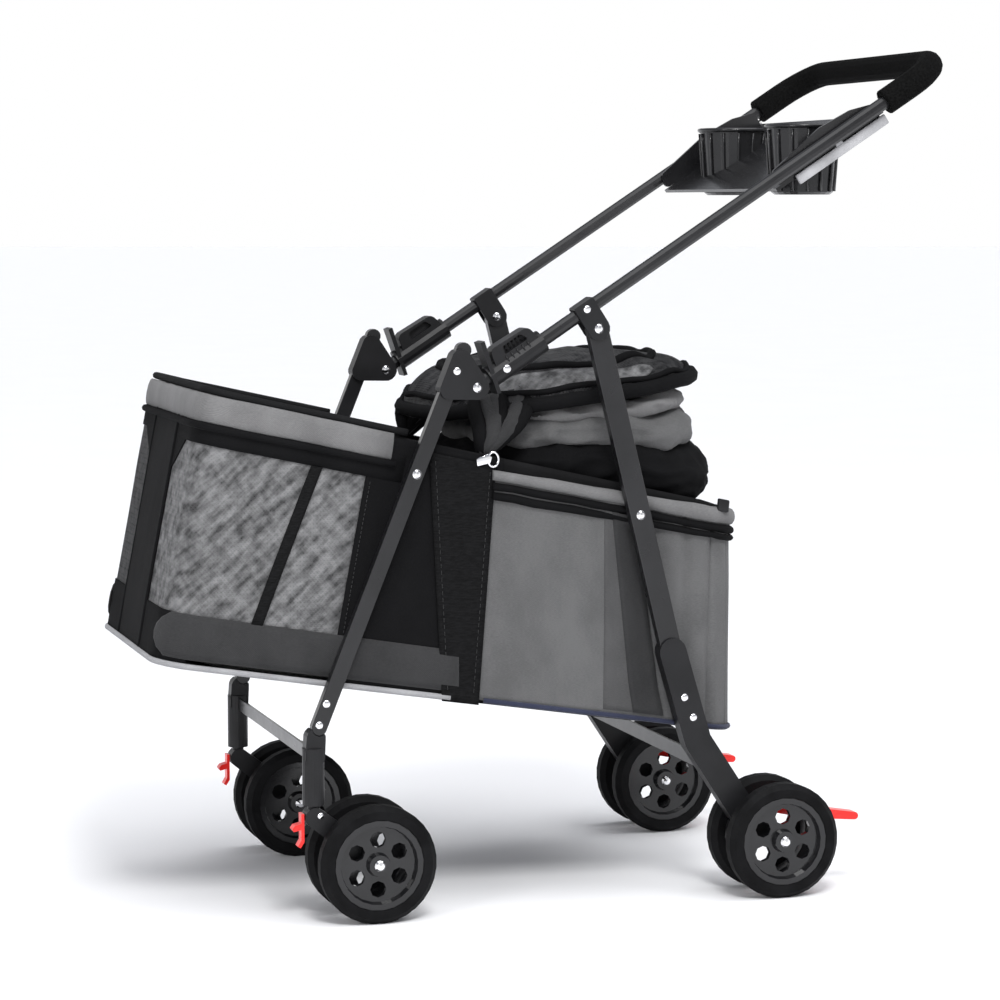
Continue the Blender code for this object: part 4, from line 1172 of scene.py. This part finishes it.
def slider_details():
    """Two sets of finger ribs and a mould line on each latch slider."""
    for side in SIDES:
        parts = []
        ribs = (
            (0.047, 0.0075, 0.0112, (0.0035, 0.0075, 0.0115)),
            (0.0535, 0.0050, 0.0042, (0.0148, 0.0180, 0.0210)),
        )
        for start, spacing, reach, rises in ribs:
            for number in range(5):
                points = [on_handle(start + number * spacing, rise) for rise in rises]
                line = [(x, side * (LEG_Y + reach), z) for x, z in points]
                parts.append(tube("rib", line, 0.0011, MATERIALS["plastic"], flat=1.4))
        points = [on_handle(distance, -0.0025) for distance in (0.040, 0.052, 0.064, 0.076, 0.086)]
        line = [(x, side * (LEG_Y + 0.0114), z) for x, z in points]
        parts.append(tube("line", line, 0.0009, MATERIALS["plastic"]))
        body = "latch_slider_" + SIDE_NAME[side] + "_body"
        carry(joined("slider_ribs_" + SIDE_NAME[side], parts), body)


HOOK_Y = 0.1920


def buckles():
    """A bright hook and a small snap where the hood joins the rim."""
    for side in SIDES:
        word = SIDE_NAME[side]
        outline = [(0.1085, 0.5130), (0.0925, 0.5165), (0.0905, 0.5235), (0.0960, 0.5275), (0.1095, 0.5215)]
        hook = plate("hook", outline, 0.0034, side * HOOK_Y, "chrome", 0.0013)
        loop = []
        for turn in turns(20):
            loop.append((0.0890 + 0.0062 * math.cos(turn), side * HOOK_Y, 0.5205 + 0.0085 * math.sin(turn)))
        ring = tube("ring", loop, 0.0014, MATERIALS["chrome"], cyclic=True)
        whole = fold_down(joined("hood_hook_" + word, [hook, ring]))
        whole.data.shade_smooth()
        outline = [(-0.1850, 0.4540), (-0.1990, 0.4510), (-0.2005, 0.4655), (-0.1865, 0.4685)]
        snap = plate("rim_snap_" + word, outline, 0.0060, side * 0.1900, "plastic", 0.0018)
        fold_down(snap)


STITCHES = 34


def stitches():
    """Rows of short thread along the panel edges."""
    rows = (
        (lambda h: STRAP_REAR(h) + 0.012, (0.03, 0.93), 0.0042),
        (lambda h: STRAP_FRONT(h) - 0.012, (0.03, 0.93), 0.0042),
        (lambda h: WINDOW_REAR(h) - 0.010, (0.20, 0.80), 0.0018),
    )
    for side in SIDES:
        parts = []
        for edge, heights, out in rows:
            for number in range(STITCHES):
                ends = []
                for share in (0.2, 0.8):
                    height = lerp(heights[0], heights[1], (number + share) / STITCHES)
                    ends.append(wall_point(on_side(side, edge(height)), height, out))
                parts.append(tube("stitch", ends, 0.0004, MATERIALS["thread"], sides=5))
        fold_down(joined("stitches_" + SIDE_NAME[side], parts))


def build():
    dress_frame()
    basket_walls()
    floor_sheet()
    mat()
    folded_canopy()
    extra_rivets()
    tray_details()
    slider_details()
    buckles()
    stitches()


# ---- stage ----

# Soft lamps: name, place, width and power.
LAMPS = (
    ("key", (0.35, 2.4, 2.9), 0.8, 60.0),
    ("front", (2.4, 2.1, 1.35), 0.8, 24.0),
)


def studio():
    """A white floor without an edge, a room that is bright at the horizon, and soft lamps."""
    bpy.ops.mesh.primitive_plane_add(size=120, location=(0, 0, 0))
    ground = bpy.context.object
    ground.name = "studio_floor"
    surface = Finish("floor_pale", (0.93, 0.93, 0.94), 0.8)
    surface.set("Specular IOR Level", 0.1)
    surface.vary(surface.noise(3.0, 3.0), 0.005)
    paint(ground, surface.material)
    world = bpy.data.worlds.new("room")
    world.use_nodes = True
    tree = world.node_tree
    place = tree.nodes.new("ShaderNodeTexCoord").outputs["Generated"]
    split = tree.nodes.new("ShaderNodeSeparateXYZ")
    ramp = tree.nodes.new("ShaderNodeValToRGB")
    horizon, above = ramp.color_ramp.elements
    horizon.position = 0.13
    horizon.color = (1.0, 1.0, 1.0, 1.0)
    above.position = 0.36
    above.color = (0.34, 0.35, 0.38, 1.0)
    tree.links.new(place, split.inputs["Vector"])
    tree.links.new(split.outputs["Z"], ramp.inputs["Fac"])
    tree.links.new(ramp.outputs["Color"], tree.nodes["Background"].inputs["Color"])
    tree.nodes["Background"].inputs["Strength"].default_value = 1.0
    bpy.context.scene.world = world
    sky = bpy.data.lights.new("sky", "SUN")
    sky.energy = 2.3
    sky.angle = math.radians(70)
    sky.color = (0.985, 0.99, 1.0)
    overhead = link(bpy.data.objects.new("sky", sky))
    overhead.rotation_euler = (math.radians(-14), math.radians(-10), 0)
    for name, place, size, power in LAMPS:
        data = bpy.data.lights.new(name, "AREA")
        data.size = size
        data.energy = power
        aim(link(bpy.data.objects.new(name, data)), place, Vector((0, 0, 0.4)) - Vector(place))


def aim(obj, place, ahead):
    """Places a lamp or the camera so that it looks ahead."""
    obj.location = place
    obj.rotation_mode = "QUATERNION"
    obj.rotation_quaternion = ahead.to_track_quat("-Z", "Y")


CAMERA_PLACE = (1.1193, 3.5775, 0.8099)
CAMERA_YAW = 0.2976
CAMERA_PITCH = 0.0946
CAMERA_LENS = 112.0


def camera():
    data = bpy.data.cameras.new("camera")
    data.lens = CAMERA_LENS
    data.sensor_width = 36.0
    data.clip_end = 60.0
    eye = link(bpy.data.objects.new("camera", data))
    level = math.cos(CAMERA_PITCH)
    ahead = (-math.sin(CAMERA_YAW) * level, -math.cos(CAMERA_YAW) * level, -math.sin(CAMERA_PITCH))
    aim(eye, CAMERA_PLACE, Vector(ahead))
    bpy.context.scene.camera = eye
    bpy.context.scene.view_settings.view_transform = "Standard"


camera()
studio()
build()
